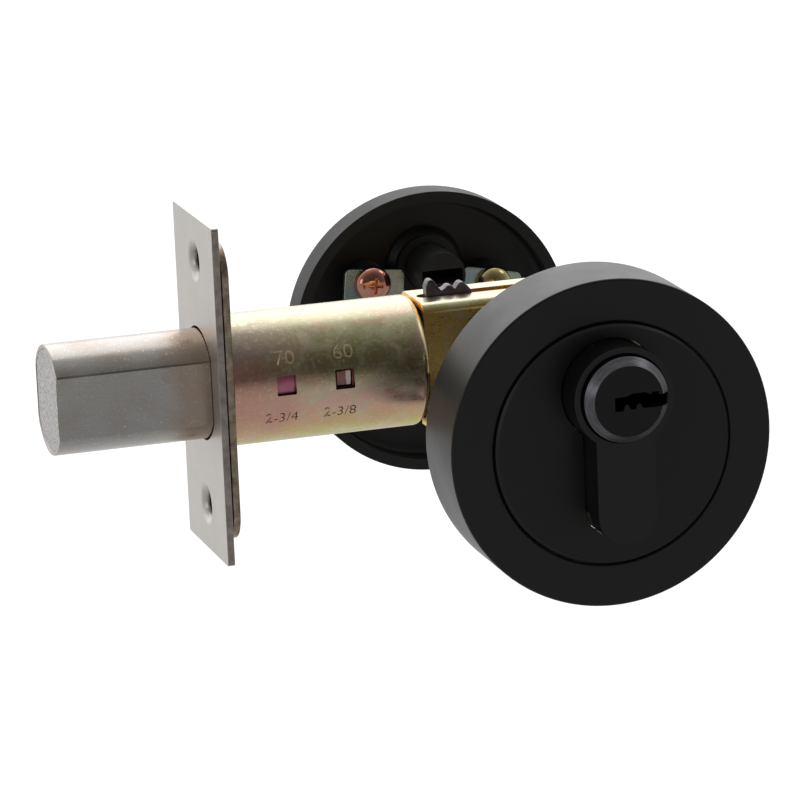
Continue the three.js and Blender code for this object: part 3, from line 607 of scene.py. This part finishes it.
def backing_plate():
    low, high = node_box("backing_plate")
    corner = 5
    plate = prism("backing_plate_plate", rounded_rect(low.y, high.y, low.z, high.z, corner, 10), X,
                  low.x, high.x)
    tools = [prism(TOOL, circle(0, 0, SLEEVE_R + 0.08, 96), X, low.x - PAST, high.x + PAST)]
    for side in (-1, 1):
        hole = circle(0, side * SCREW_PITCH / 2, SCREW_R, 40)
        tools.append(prism(TOOL, hole, X, low.x - PAST, high.x + PAST))
    cut(plate, *tools)
    edge_round(plate, 0.12)
    mount(plate, "faceplate_group", "yellow_zinc", ZINC_BACK, "backing_plate")


def inner_sleeve():
    """The sleeve that slides in the tube, slit on three sides round its springy catch."""
    low, high = node_box("inner_sleeve")
    catch_low, catch_high = node_box("backset_catch")
    profile = [(SLEEVE_BORE, low.x), (SLEEVE_R, low.x), (SLEEVE_R, high.x), (SLEEVE_BORE, high.x)]
    sleeve = turned("inner_sleeve_tube", profile, X, segments=128, closed=True)
    through = (-SLEEVE_R - PAST, -SLEEVE_BORE + 3)
    slit = 0.16
    fit = 0.1
    along = (catch_low.x - 4.5, catch_high.x + slit)
    up = (catch_low.z - slit, catch_high.z + slit)
    for z in (up[0], up[1] - slit):
        cut(sleeve, block(TOOL, along, through, (z, z + slit)))
    cut(sleeve, block(TOOL, (catch_high.x, catch_high.x + slit), through, up))
    cut(sleeve, block(TOOL, (catch_low.x - fit, catch_high.x + fit), through,
                      (catch_low.z - fit, catch_high.z + fit)))
    edge_round(sleeve, 0.05, 2)
    mount(sleeve, "faceplate_group", "pink_zinc", PINK, "inner_sleeve")


def backset_catch():
    """A small pressed button, worn bright on its rear half."""
    low, high = node_box("backset_catch")
    button = prism("backset_catch_button", rounded_rect(low.x, high.x, low.z, high.z, 0.3), Y,
                   -SLEEVE_R + 0.02, -SLEEVE_BORE + 0.5)
    edge_round(button, 0.22, 4)
    mount(button, "faceplate_group", "pink_zinc", CATCH, "backset_catch")


# ------------------------------------------------------------------ bolt

def bolt():
    """A drawn skin with two flats, open at its front round a granular core."""
    low, high = node_box("bolt_sleeve")
    skin = 0.75
    fit = 0.04
    core_r = BOLT_R - skin
    core_flat = BOLT_FLAT - skin * 0.45
    shell = prism("bolt_sleeve_shell", flatted_round(BOLT_R, BOLT_FLAT, 64), X, low.x, high.x)
    cut(shell, prism(TOOL, flatted_round(core_r, core_flat, 64), X, low.x - PAST, high.x + PAST))
    edge_round(shell, 0.22, 4, 28)
    mount(shell, "bolt", "bolt_steel", STEEL_BOLT, "bolt_sleeve")

    core = prism("bolt_core_face", flatted_round(core_r - fit, core_flat - fit, 64), X,
                 low.x + 0.12, high.x - 0.05)
    # A slot at the back takes the front drawbar.
    bar_low, bar_high = node_box("drawbar_front")
    cut(core, block(TOOL, (high.x - 7, high.x + PAST), (bar_low.y - CLEAR, bar_high.y + CLEAR),
                    (-9.5, -2.2)))
    edge_round(core, 0.12, 2)
    mount(core, "bolt", "sintered_core", CORE, "bolt_core")


# ------------------------------------------------------------------ tube and its marks

MARK_DEPTH = 0.14


def mark_cutter(text, x, angle, height, radius):
    """Size numbers as a thin cutter, lying flat on the tube at an angle above the horizontal."""
    curve = bpy.data.curves.new(TOOL, "FONT")
    curve.body = text
    curve.size = height
    curve.offset = -0.012 * height
    curve.extrude = MARK_DEPTH
    curve.align_x = "CENTER"
    curve.align_y = "CENTER"
    curve.resolution_u = 3
    obj = bpy.data.objects.new(TOOL, curve)
    SCENE.collection.objects.link(obj)
    bpy.context.view_layer.update()
    mesh = bpy.data.meshes.new_from_object(obj.evaluated_get(bpy.context.evaluated_depsgraph_get()))
    bpy.data.objects.remove(obj)
    lift = math.radians(angle)
    for vertex in mesh.vertices:
        u, v, w = vertex.co
        bend = lift + v / radius
        reach = radius + w
        vertex.co = Vector((x + u, -reach * math.cos(bend), reach * math.sin(bend))) * MM
    cutter = bpy.data.objects.new(TOOL, mesh)
    SCENE.collection.objects.link(cutter)
    return cutter


def tube():
    """The outer tube: a rolled rear lip, two windows, and the backsets marked above and below them."""
    low, high = node_box("outer_tube")
    wall = 0.6
    outer = TUBE_R
    inner = outer - wall
    shoulder = 1.45
    end = high.x
    profile = [(inner, low.x), (outer, low.x)]
    profile += [(r, x) for x, r in reversed(arc(end - shoulder, outer - shoulder, shoulder, 0, 90, 10))]
    profile += [(r, x) for x, r in arc(end - shoulder, outer - shoulder, shoulder - wall, 0, 90, 8)]
    body = turned("outer_tube_shell", profile, X, segments=160, closed=True)
    tools = []
    for x in WINDOW_X:
        outline = rounded_rect(x - WINDOW / 2, x + WINDOW / 2, WINDOW_LOW, WINDOW_LOW + WINDOW, 0.22, 4)
        tools.append(prism(TOOL, outline, Y, -outer - PAST, -8))
    cut(body, *tools)
    for x, text in zip(WINDOW_X, ("60", "70")):
        cut(body, mark_cutter(text, x + 0.1, 27.5, 3.7, outer))
    for x, text in zip(WINDOW_X, ("2-3/8", "2-3/4")):
        cut(body, mark_cutter(text, x - 0.8, -27.0, 2.7, outer))
    edge_round(body, 0.05, 2, 40)
    mount(body, "root", "yellow_zinc", ZINC_TUBE, "outer_tube")


# ------------------------------------------------------------------ bracket and drawbar

def bracket():
    """A folded channel, open below but for its front, slotted along its top for the drawbar's crest."""
    low, high = node_box("bracket")
    wall = 1.2
    bend = 1.7
    open_start = -18.5
    slot_half = 1.35
    spindle_r = 4.8
    channel = prism("bracket_channel", rounded_rect(low.y, high.y, low.z, high.z, bend, 10), X,
                    low.x, high.x)
    inside = rounded_rect(low.y + wall, high.y - wall, low.z + wall, high.z - wall, bend - wall + 0.2, 6)
    top_slot = rounded_rect(-22.0, 14.5, -slot_half, slot_half, slot_half - 0.05, 8)
    tools = [
        prism(TOOL, inside, X, low.x - PAST, high.x + PAST),
        block(TOOL, (open_start, high.x + PAST), (low.y - PAST, high.y + PAST),
              (low.z - PAST, low.z + bend)),
        block(TOOL, (low.x - PAST, open_start + 0.5), (-3, 3), (low.z - PAST, low.z + 2)),
        prism(TOOL, top_slot, Z, 5, high.z + PAST),
        rod(spindle_r, low.y - PAST, high.y + PAST, segments=96),
    ]
    cut(channel, *tools)
    edge_round(channel, 0.16, 3)
    mount(channel, "root", "yellow_zinc", ZINC_BRACKET, "bracket")


def drawbar():
    """The rear drawbar: two rails, a three-toothed crest above, and a fork below for the cam's pin."""
    low, high = node_box("drawbar_rear")
    rail_out = 9.2
    rail_in = 6.2
    tall_end = -30.9
    fork_x = -12.5
    fork = 4.1
    outline = [(low.x, -rail_out + 0.2), (fork_x - fork, -rail_out + 0.2), (fork_x - fork, low.z),
               (fork_x + fork, low.z), (fork_x + fork, -rail_in), (tall_end, -rail_in),
               (tall_end, rail_in), (-12.6, rail_in), (-12.6, 10.9), (-13.4, 11.9)]
    outline += arc(-14.35, 11.75, 0.75, 15, 145, 8)
    outline += [(-15.5, 11.45)]
    outline += arc(-16.5, 11.4, 0.78, 30, 150, 8)
    outline += [(-17.9, 11.4), (-18.9, 12.6)]
    outline += arc(-19.7, 12.75, 0.65, 30, 150, 8)
    outline += [(-20.6, 12.3), (-20.6, 9.6), (-21.6, rail_out), (low.x, rail_out)]
    plate = prism("drawbar_rear_plate", outline, Y, low.y, high.y)
    link_slot = rounded_rect(-46.65, -32.95, -7.25, -3.55, 1.84, 10)
    fork_slot = rounded_rect(fork_x - 2.3, fork_x + 2.3, -19.48, -10.6, 1, 6)
    cut(plate, *[prism(TOOL, slot, Y, low.y - PAST, high.y + PAST) for slot in (link_slot, fork_slot)])
    edge_round(plate, 0.2, 3, 40)
    mount(plate, "drawbar", "dark_zinc", DARK, "drawbar_rear")


# ------------------------------------------------------------------ outside rose and cylinder

def outer_rose():
    low, high = node_box("outer_rose")
    disc_low, disc_high = node_box("outer_disc")
    centre = (0, (low.z + high.z) / 2)
    radius = high.x
    wall = radius - 2.2
    bore = disc_high.x + 0.28
    seat = disc_high.y + CLEAR
    flange = 18
    rim = [(flange, seat), (bore, seat), (bore, low.y), (radius, low.y), (radius, high.y), (wall, high.y),
           (wall, seat + 1.6), (flange, seat + 1.6)]
    rose = turned("outer_rose_shell", rim, Y, centre, 192, closed=True)
    edge_round(rose, 0.38, 5)
    mount(rose, "root", "satin_black", BLACK, "outer_rose")

    disc_r = disc_high.x
    chamfer = 0.45
    face = [(0, disc_low.y), (disc_r - chamfer, disc_low.y), (disc_r, disc_low.y + chamfer),
            (disc_r, disc_high.y), (0, disc_high.y)]
    disc = turned("outer_disc_face", face, Y, centre, 192)
    opening = profile_outline(BARREL_R + 0.2, LEG_HALF + 0.2, LEG_ROUND_Z)
    cut(disc, prism(TOOL, opening, Y, disc_low.y - PAST, disc_high.y + PAST))
    edge_round(disc, 0.12, 3)
    mount(disc, "root", "satin_black", BLACK_FLAT, "outer_disc")


PIN_Y = tuple(-34.4 + 4.2 * i for i in range(5))


def pin_bore(low, high, y):
    """The bore of one pin, upright and on the cylinder's centre line."""
    return rod(1.5, low, high, Z, (0, y), 32)


def cylinder_body():
    low, high = node_box("cylinder_body")
    cover_low, cover_high = node_box("chamber_cover")
    plug_r = node_box("cylinder_plug")[1].x
    outline = profile_outline(BARREL_R, LEG_HALF, LEG_ROUND_Z, 48)
    body = prism("cylinder_body_shell", outline, Y, low.y, high.y)
    fit = 0.12
    mouth = 0.34
    bore = [(0, low.y - PAST), (plug_r + mouth, low.y - PAST), (plug_r + mouth, low.y),
            (plug_r + fit, low.y + mouth - fit), (plug_r + fit, high.y + PAST), (0, high.y + PAST)]
    cut(body, turned(TOOL, bore, Y, segments=128))
    cut(body, block(TOOL, (cover_low.x - CLEAR, cover_high.x + CLEAR),
                    (cover_low.y - CLEAR, cover_high.y + CLEAR), (low.z - PAST, cover_high.z + 0.2)))
    cut(body, *[pin_bore(cover_high.z, 1 - plug_r, y) for y in PIN_Y])
    edge_round(body, 0.28, 4)
    mount(body, "root", "satin_black", BLACK_BODY, "cylinder_body")


def cylinder_plug():
    """The plug: its chamfer is turned bright, and its flat keyway opens to one side, warded both ways."""
    low, high = node_box("cylinder_plug")
    radius = high.x
    face, back = low.y, high.y
    neck = -13.8
    clip_groove = 0.9
    profile = [(0, face), (5.87, face), (radius, face + 1.37), (radius, neck),
               (radius - clip_groove, neck), (radius - clip_groove, back), (0, back)]
    plug = turned("cylinder_plug_face", profile, Y, segments=128)
    past_rim = 8
    keyway = [(-2.4, -1.5), (-1.0, -1.5)] + arc(-0.38, -0.86, 0.38, 165, 15, 6)
    keyway += [(0.3, -1.4), (1.1, -1.4)] + arc(1.72, -0.86, 0.36, 165, 15, 6)
    keyway += [(2.4, -1.35), (past_rim, -1.35), (past_rim, 0.65), (5.1, 0.65), (5.1, 1.2), (4.0, 1.2),
               (3.8, 0.75), (2.7, 1.25), (0.6, 1.25), (-0.4, 0.85), (-2.4, 0.8)]
    cut(plug, prism(TOOL, keyway, Y, face - PAST, -14.7))
    # The tailpiece's end turns free in this recess.
    cut(plug, rod(4.1, -14.2, back + PAST))
    cut(plug, *[pin_bore(-radius - PAST, 0.05, y) for y in PIN_Y])
    edge_round(plug, 0.06, 3)
    mount(plug, "plug", "bright_black", BLACK_PLUG, "cylinder_plug")


# ------------------------------------------------------------------ inside rose

MOUTH = 64.6
FLOOR = 68.8
HUNG = Matrix.Rotation(math.radians(6), 4, "Y")     # the rose hangs a little turned on its spindle
TAB_X = (5.4, 16.6)
TAB_Z = (-12.0, 0.1)
TAB_Y = (62.3, 63.5)
TAB_SCREW = (11.4, -2.5)
TAB_HEAD_R = 3.3
TAB_HOLE_R = 1.85


def hung(obj):
    obj.data.transform(HUNG)
    return obj


def swung(obj, x, z):
    """The right tab has swung a little further round its own screw."""
    here = Matrix.Translation(Vector((x, 0, z)) * MM)
    obj.data.transform(here @ HUNG @ here.inverted())
    return obj


def inner_rose():
    """The inside rose seen from its hollow side: a chamfered boss, and a post behind each tab."""
    low, high = node_box("inner_rose")
    centre_z = (low.z + high.z) / 2
    radius = high.x
    wall = radius - 2.0
    root = 1.4
    cup = [(0, high.y), (radius, high.y), (radius, MOUTH), (wall, MOUTH), (wall, FLOOR - root)]
    cup += [(r, y) for r, y in arc(wall - root, FLOOR - root, root, 0, 90, 8)][1:]
    cup += [(0, FLOOR)]
    rose = turned("inner_rose_shell", cup, Y, (0, centre_z), 192)
    into_floor = 0.5
    boss = [(0, FLOOR + into_floor), (7.0, FLOOR + into_floor), (7.0, FLOOR - 1.0), (6.0, FLOOR - 2.2),
            (0, FLOOR - 2.2)]
    join(rose, turned(TOOL, boss, Y, segments=96))
    for side in (-1, 1):
        centre = (side * TAB_SCREW[0], TAB_SCREW[1])
        front = TAB_Y[1] + CLEAR
        post = [(0, front), (3.3, front), (3.45, FLOOR + into_floor), (0, FLOOR + into_floor)]
        join(rose, hung(turned(TOOL, post, Y, centre, 48)))
        cut(rose, hung(rod(TAB_HOLE_R, front - PAST, FLOOR - 0.3, Y, centre, 32)))
    cut(rose, rod(5.45, FLOOR - 5, high.y + PAST, segments=96))
    edge_round(rose, 0.3, 4)
    mount(rose, "inner_rose", "satin_black", BLACK_INSIDE, "inner_rose")


def clamp_tabs():
    """Two bright tabs, each under a domed screw with a small cross recess."""
    for side, label in ((-1, "left"), (1, "right")):
        x0, x1 = sorted((side * TAB_X[0], side * TAB_X[1]))
        tab = prism(f"clamp_tab_{label}_plate", rounded_rect(x0, x1, *TAB_Z, 1.1), Y, *TAB_Y)
        x, z = side * TAB_SCREW[0], TAB_SCREW[1]
        cut(tab, rod(TAB_HOLE_R, TAB_Y[0] - PAST, TAB_Y[1] + PAST, Y, (x, z), 32))
        if side > 0:
            swung(tab, x, z)
        edge_round(tab, 0.2, 3)
        mount(hung(tab), "inner_rose", "white_zinc", WHITE, f"clamp_tab_{label}")

        seat = TAB_Y[0] - 0.15
        brim = 0.35
        dome = 1.95
        shank_r = 1.7
        shank_end = FLOOR - 0.8
        profile = [(0, seat - dome - brim)]
        profile += [(r, seat - brim - y) for r, y in dome_points(TAB_HEAD_R, dome, range(9, 91, 9))]
        profile += [(TAB_HEAD_R, seat), (shank_r, seat), (shank_r, shank_end), (0, shank_end)]
        screw = turned(f"clamp_screw_{label}_pan", profile, Y, (x, z), 96)
        tools = []
        for wide, tall in ((1.35, 0.26), (0.26, 1.35)):
            tools.append(block(TOOL, (x - wide, x + wide), (seat - dome - PAST, seat - 1.1),
                               (z - tall, z + tall)))
        cut(screw, *tools)
        edge_round(screw, 0.1, 3)
        finish = GILT if side > 0 else COPPER
        mount(hung(screw), "inner_rose", "copper_screw", finish, f"clamp_screw_{label}")


def turn_hub():
    low, high = node_box("turn_hub")
    hub = rod(high.x, low.y, high.y, segments=96, name="turn_hub_spindle")
    # The tailpiece passes into this slot as the rose is drawn to the door.
    cut(hub, block(TOOL, (-3.8, 3.8), (low.y - PAST, high.y - 1.2), (-1.25, 1.25)))
    edge_round(hub, 0.35, 4)
    mount(hub, "thumb_turn", "satin_black", BLACK_INSIDE, "turn_hub")


def thumb_turn():
    """The grip: a round neck over the hub's end, and a flat bar with round ends across it."""
    low, high = node_box("thumb_turn")
    neck_r = high.z
    bar_start = 74.6
    grip = rod(neck_r, low.y, bar_start + 0.6, segments=96, name="thumb_turn_grip")
    half = 3.6
    outline = arc(high.x - half, 0, half, -90, 90, 24) + arc(low.x + half, 0, half, 90, 270, 24)
    join(grip, prism(TOOL, outline, Y, bar_start, high.y))
    cut(grip, rod(4.4, low.y - PAST, bar_start, segments=96))
    cut(grip, rod(1.35, -neck_r - PAST, -4, Z, (0, low.y + 1.9), 32))
    edge_round(grip, 0.7, 5)
    mount(grip, "thumb_turn", "satin_black", BLACK, "thumb_turn")


# ------------------------------------------------------------------ hidden and rear pieces

def middle(node):
    """Where a round node that lies along Y has its centre, in (x, z)."""
    low, high = node_box(node)
    return (low.x + high.x) / 2, (low.z + high.z) / 2


def cylinder_clamp():
    """The plate behind the outside rose, which holds the cylinder, the posts and their screws."""
    low, high = node_box("cylinder_clamp")
    centre_z = (low.z + high.z) / 2
    plate = rod(high.x, low.y, high.y, Y, (0, centre_z), 160, "cylinder_clamp_plate")
    through = (low.y - PAST, high.y + PAST)
    opening = profile_outline(BARREL_R + CLEAR, LEG_HALF + CLEAR, LEG_ROUND_Z)
    tools = [prism(TOOL, opening, Y, *through)]
    for label in ("left", "right"):
        for kind, hole_r in (("clamp_plate_screw", 1.65), ("mounting_post", 2.35)):
            tools.append(rod(hole_r, *through, Y, middle(f"{kind}_{label}"), 32))
    cut(plate, *tools)
    edge_round(plate, 0.15)
    mount(plate, "root", "spring_steel", SPRING, "cylinder_clamp")


def clamp_plate_screw(label):
    node = f"clamp_plate_screw_{label}"
    low, high = node_box(node)
    x, z = middle(node)
    head = high.x - x
    seat = node_box("cylinder_clamp")[1].y + CLEAR
    brim = seat + 1.0
    shank_r = 1.5
    profile = [(0, low.y), (shank_r, low.y), (shank_r, seat), (head, seat), (head, brim)]
    profile += [(r, brim + y) for r, y in dome_points(head, 0.9, range(75, 0, -15))]
    profile += [(0, high.y)]
    screw = turned(f"{node}_head", profile, Y, (x, z), 64)
    cut(screw, block(TOOL, (x - 3, x + 3), (seat + 1.1, high.y + PAST), (z - 0.35, z + 0.35)))
    edge_round(screw, 0.12)
    mount(screw, "root", "spring_steel", SPRING, node)


def mounting_post(label):
    """A sleeve whose mouth is threaded for one of the long screws that draw the roses together."""
    node = f"mounting_post_{label}"
    low, high = node_box(node)
    x, z = middle(node)
    outer = high.x - x
    seat = node_box("cylinder_clamp")[1].y + CLEAR
    foot_r = 2.2
    drill_r = 1.9
    pitch = 0.8
    profile = [(0, low.y), (foot_r, low.y), (foot_r, seat), (outer, seat), (outer, high.y), (2.3, high.y),
               (drill_r, high.y - pitch / 2)]
    for i in range(16):
        y = high.y - pitch - i * pitch
        profile += [(2.05, y), (1.85, y - pitch / 2)]
    profile += [(drill_r, seat + 2), (0, seat + 1.6)]
    post = turned(f"{node}_sleeve", profile, Y, (x, z), 64)
    edge_round(post, 0.1)
    mount(post, "root", "spring_steel", SPRING, node)


def cam():
    """A hub between the bracket's walls, with two arms joined by the pin that moves the drawbar."""
    low, high = node_box("cam")
    pin = middle("cam_pin")
    tail_low, tail_high = node_box("tailpiece")
    fit = 0.15
    bearing_r = 4.5
    collar_r = 5.2
    collar = 4.7
    profile = [(0, low.y), (bearing_r, low.y), (bearing_r, -collar), (collar_r, -collar),
               (collar_r, collar), (bearing_r, collar), (bearing_r, high.y), (0, high.y)]
    hub = turned("cam_hub", profile, Y, segments=96)
    arm = arc(0, 0, 3.8, -45, 135, 24) + arc(*pin, 2.8, 135, 315, 24)
    for side in (-1, 1):
        near, far = sorted((side * 1.5, side * 4.4))
        join(hub, prism(TOOL, arm, Y, near, far))
    through = (-8, 8)
    tail_slot = block(TOOL, (tail_low.x - fit, tail_high.x + fit), through,
                      (tail_low.z - fit, tail_high.z + fit))
    cut(hub, tail_slot, rod(1.65, *through, Y, pin, 32))
    edge_round(hub, 0.2, 3)
    mount(hub, "cam", "dark_zinc", DARK, "cam")


def tailpiece():
    """A flat bar, scored so that it can be broken to the door's thickness."""
    low, high = node_box("tailpiece")
    bar = block("tailpiece_bar", (low.x, high.x), (low.y, high.y), (low.z, high.z))
    scores = 3
    pitch = 5
    tools = []
    for i in range(scores):
        y = high.y - pitch * (i + 1)
        for side in (-1, 1):
            notch = [(y - 1, side * (high.z + 0.1)), (y + 1, side * (high.z + 0.1)), (y, side * 0.55)]
            tools.append(prism(TOOL, notch, X, low.x - PAST, high.x + PAST))
    cut(bar, *tools)
    edge_round(bar, 0.18)
    mount(bar, "cam", "spring_steel", SPRING, "tailpiece")


def kept_nodes():
    """The CAD's own small pieces keep their shapes and take a finish by their slot."""
    by_slot = {"spring_steel": SPRING, "brass": BRASS, "dark_zinc": DARK, "pink_zinc": PINK,
               "satin_black": BLACK_INSIDE}
    slots = {entry["node"]: entry["material_slot"] for entry in frame["record"]["subparts"]}
    for name, node in NODES.items():
        # The clip lies in the shadow of the inside rose's hub and is given the hub's black: painted
        # shade.
        material = BLACK_INSIDE if name == "turn_clip" else by_slot.get(slots[name])
        if material:
            node.data.materials.clear()
            node.data.materials.append(material)


faceplate()
backing_plate()
inner_sleeve()
backset_catch()
bolt()
tube()
bracket()
drawbar()
outer_rose()
cylinder_body()
cylinder_plug()
inner_rose()
clamp_tabs()
turn_hub()
thumb_turn()
cylinder_clamp()
for which in ("left", "right"):
    clamp_plate_screw(which)
    mounting_post(which)
cam()
tailpiece()
kept_nodes()


# ------------------------------------------------------------------ camera, light and floor

AZIMUTH = -16.34
ELEVATION = 14.2
ROLL = -2.46
DISTANCE = 863.1
TARGET = Vector((-25.66, 0, -6.84))
FOCAL = 231.38


def add_camera():
    """Looks at TARGET from DISTANCE, both in millimetres, with the angles in degrees."""
    a, e, r = (math.radians(v) for v in (AZIMUTH, ELEVATION, ROLL))
    back = Vector((math.sin(a) * math.cos(e), -math.cos(a) * math.cos(e), math.sin(e)))
    right = (-back).cross(Vector((0, 0, 1))).normalized()
    up = right.cross(-back)
    rolled_right = right * math.cos(r) + up * math.sin(r)
    rolled_up = up * math.cos(r) - right * math.sin(r)
    data = bpy.data.cameras.new("camera")
    data.lens = FOCAL
    data.sensor_width = 36
    data.clip_start = 0.01
    data.clip_end = 10
    camera = bpy.data.objects.new("camera", data)
    matrix = Matrix((rolled_right, rolled_up, back)).transposed().to_4x4()
    matrix.translation = (TARGET + back * DISTANCE) * MM
    camera.matrix_world = matrix
    SCENE.collection.objects.link(camera)
    SCENE.camera = camera


def add_area(name, place, size, power):
    """A soft rectangular light at a place in metres, turned to the lock."""
    data = bpy.data.lights.new(name, "AREA")
    data.shape = "RECTANGLE"
    data.size, data.size_y = size
    data.energy = power
    light = bpy.data.objects.new(name, data)
    light.location = place
    light.rotation_euler = (-Vector(place)).to_track_quat("-Z", "Y").to_euler()
    SCENE.collection.objects.link(light)


def add_world():
    """A studio seen by reflection: a bright wall behind, dim in front, a pale table below."""
    world = bpy.data.worlds.new("studio")
    SCENE.world = world
    world.use_nodes = True
    tree = world.node_tree
    tree.nodes.clear()
    direction = tree.nodes.new("ShaderNodeSeparateXYZ")
    place = tree.nodes.new("ShaderNodeTexCoord")
    tree.links.new(place.outputs["Generated"], direction.inputs[0])

    def graded(axis, low, high, stops):
        scale = tree.nodes.new("ShaderNodeMapRange")
        scale.inputs["From Min"].default_value = low
        scale.inputs["From Max"].default_value = high
        tree.links.new(direction.outputs[axis], scale.inputs["Value"])
        ramp = tree.nodes.new("ShaderNodeValToRGB")
        tree.links.new(scale.outputs["Result"], ramp.inputs["Fac"])
        elements = ramp.color_ramp.elements
        while len(elements) < len(stops):
            elements.new(0.5)
        for element, (at, level) in zip(elements, stops):
            element.position = at
            element.color = (level, level, level, 1)
        return ramp.outputs["Color"]

    above = graded("Y", -1, 1, ((0.0, 0.05), (0.20, 0.13), (0.55, 0.40), (0.80, 0.90), (1.0, 1.0)))
    below = graded("Y", -1, 1, ((0.0, 0.29), (0.5, 0.33), (1.0, 0.66)))
    upward = graded("Z", -0.05, 0.05, ((0.0, 0.0), (1.0, 1.0)))
    room = tree.nodes.new("ShaderNodeMix")
    room.data_type = "RGBA"
    tree.links.new(upward, room.inputs["Factor"])
    tree.links.new(below, room.inputs["A"])
    tree.links.new(above, room.inputs["B"])
    lit = tree.nodes.new("ShaderNodeBackground")
    lit.inputs["Strength"].default_value = 1.3
    tree.links.new(room.outputs["Result"], lit.inputs["Color"])
    seen = tree.nodes.new("ShaderNodeBackground")
    seen.inputs["Color"].default_value = (1, 1, 1, 1)
    path = tree.nodes.new("ShaderNodeLightPath")
    mixer = tree.nodes.new("ShaderNodeMixShader")
    tree.links.new(path.outputs["Is Camera Ray"], mixer.inputs[0])
    tree.links.new(lit.outputs[0], mixer.inputs[1])
    tree.links.new(seen.outputs[0], mixer.inputs[2])
    output = tree.nodes.new("ShaderNodeOutputWorld")
    tree.links.new(mixer.outputs[0], output.inputs["Surface"])


def add_floor():
    bm = bmesh.new()
    drop = 14
    level = CAD_BOX[0][2] / MM - drop
    reach = 900
    corners = [(-reach, -reach), (reach, -reach), (reach, reach), (-reach, reach)]
    bm.faces.new([bm.verts.new((x, y, level)) for x, y in corners])
    floor = new_object("floor", bm)
    p = Paint("floor")
    p.colour(p.ramp(p.noise(3, 2), (0.3, 0.16), (0.7, 0.18))).set(Roughness=0.9)
    glow = p.tree.nodes.new("ShaderNodeEmission")
    glow.inputs["Strength"].default_value = 0.97
    both = p.tree.nodes.new("ShaderNodeAddShader")
    p.tree.links.new(p.shader.outputs[0], both.inputs[0])
    p.tree.links.new(glow.outputs[0], both.inputs[1])
    p.tree.links.new(both.outputs[0], p.output.inputs["Surface"])
    floor.data.materials.append(p.material)
    # The world above stands for the table in reflections, so the floor is only looked at.
    for ray in ("diffuse", "glossy", "transmission", "volume_scatter", "shadow"):
        setattr(floor, f"visible_{ray}", False)


add_camera()
add_world()
add_floor()
add_area("soft_left", (-0.88, -0.34, 0.26), (0.36, 0.36), 0.5)
add_area("soft_right", (0.72, -0.08, 0.66), (0.30, 0.30), 0.4)
add_area("back_panel", (0.05, 0.68, 0.74), (0.8, 1.1), 2.4)

SCENE.view_settings.view_transform = "Standard"
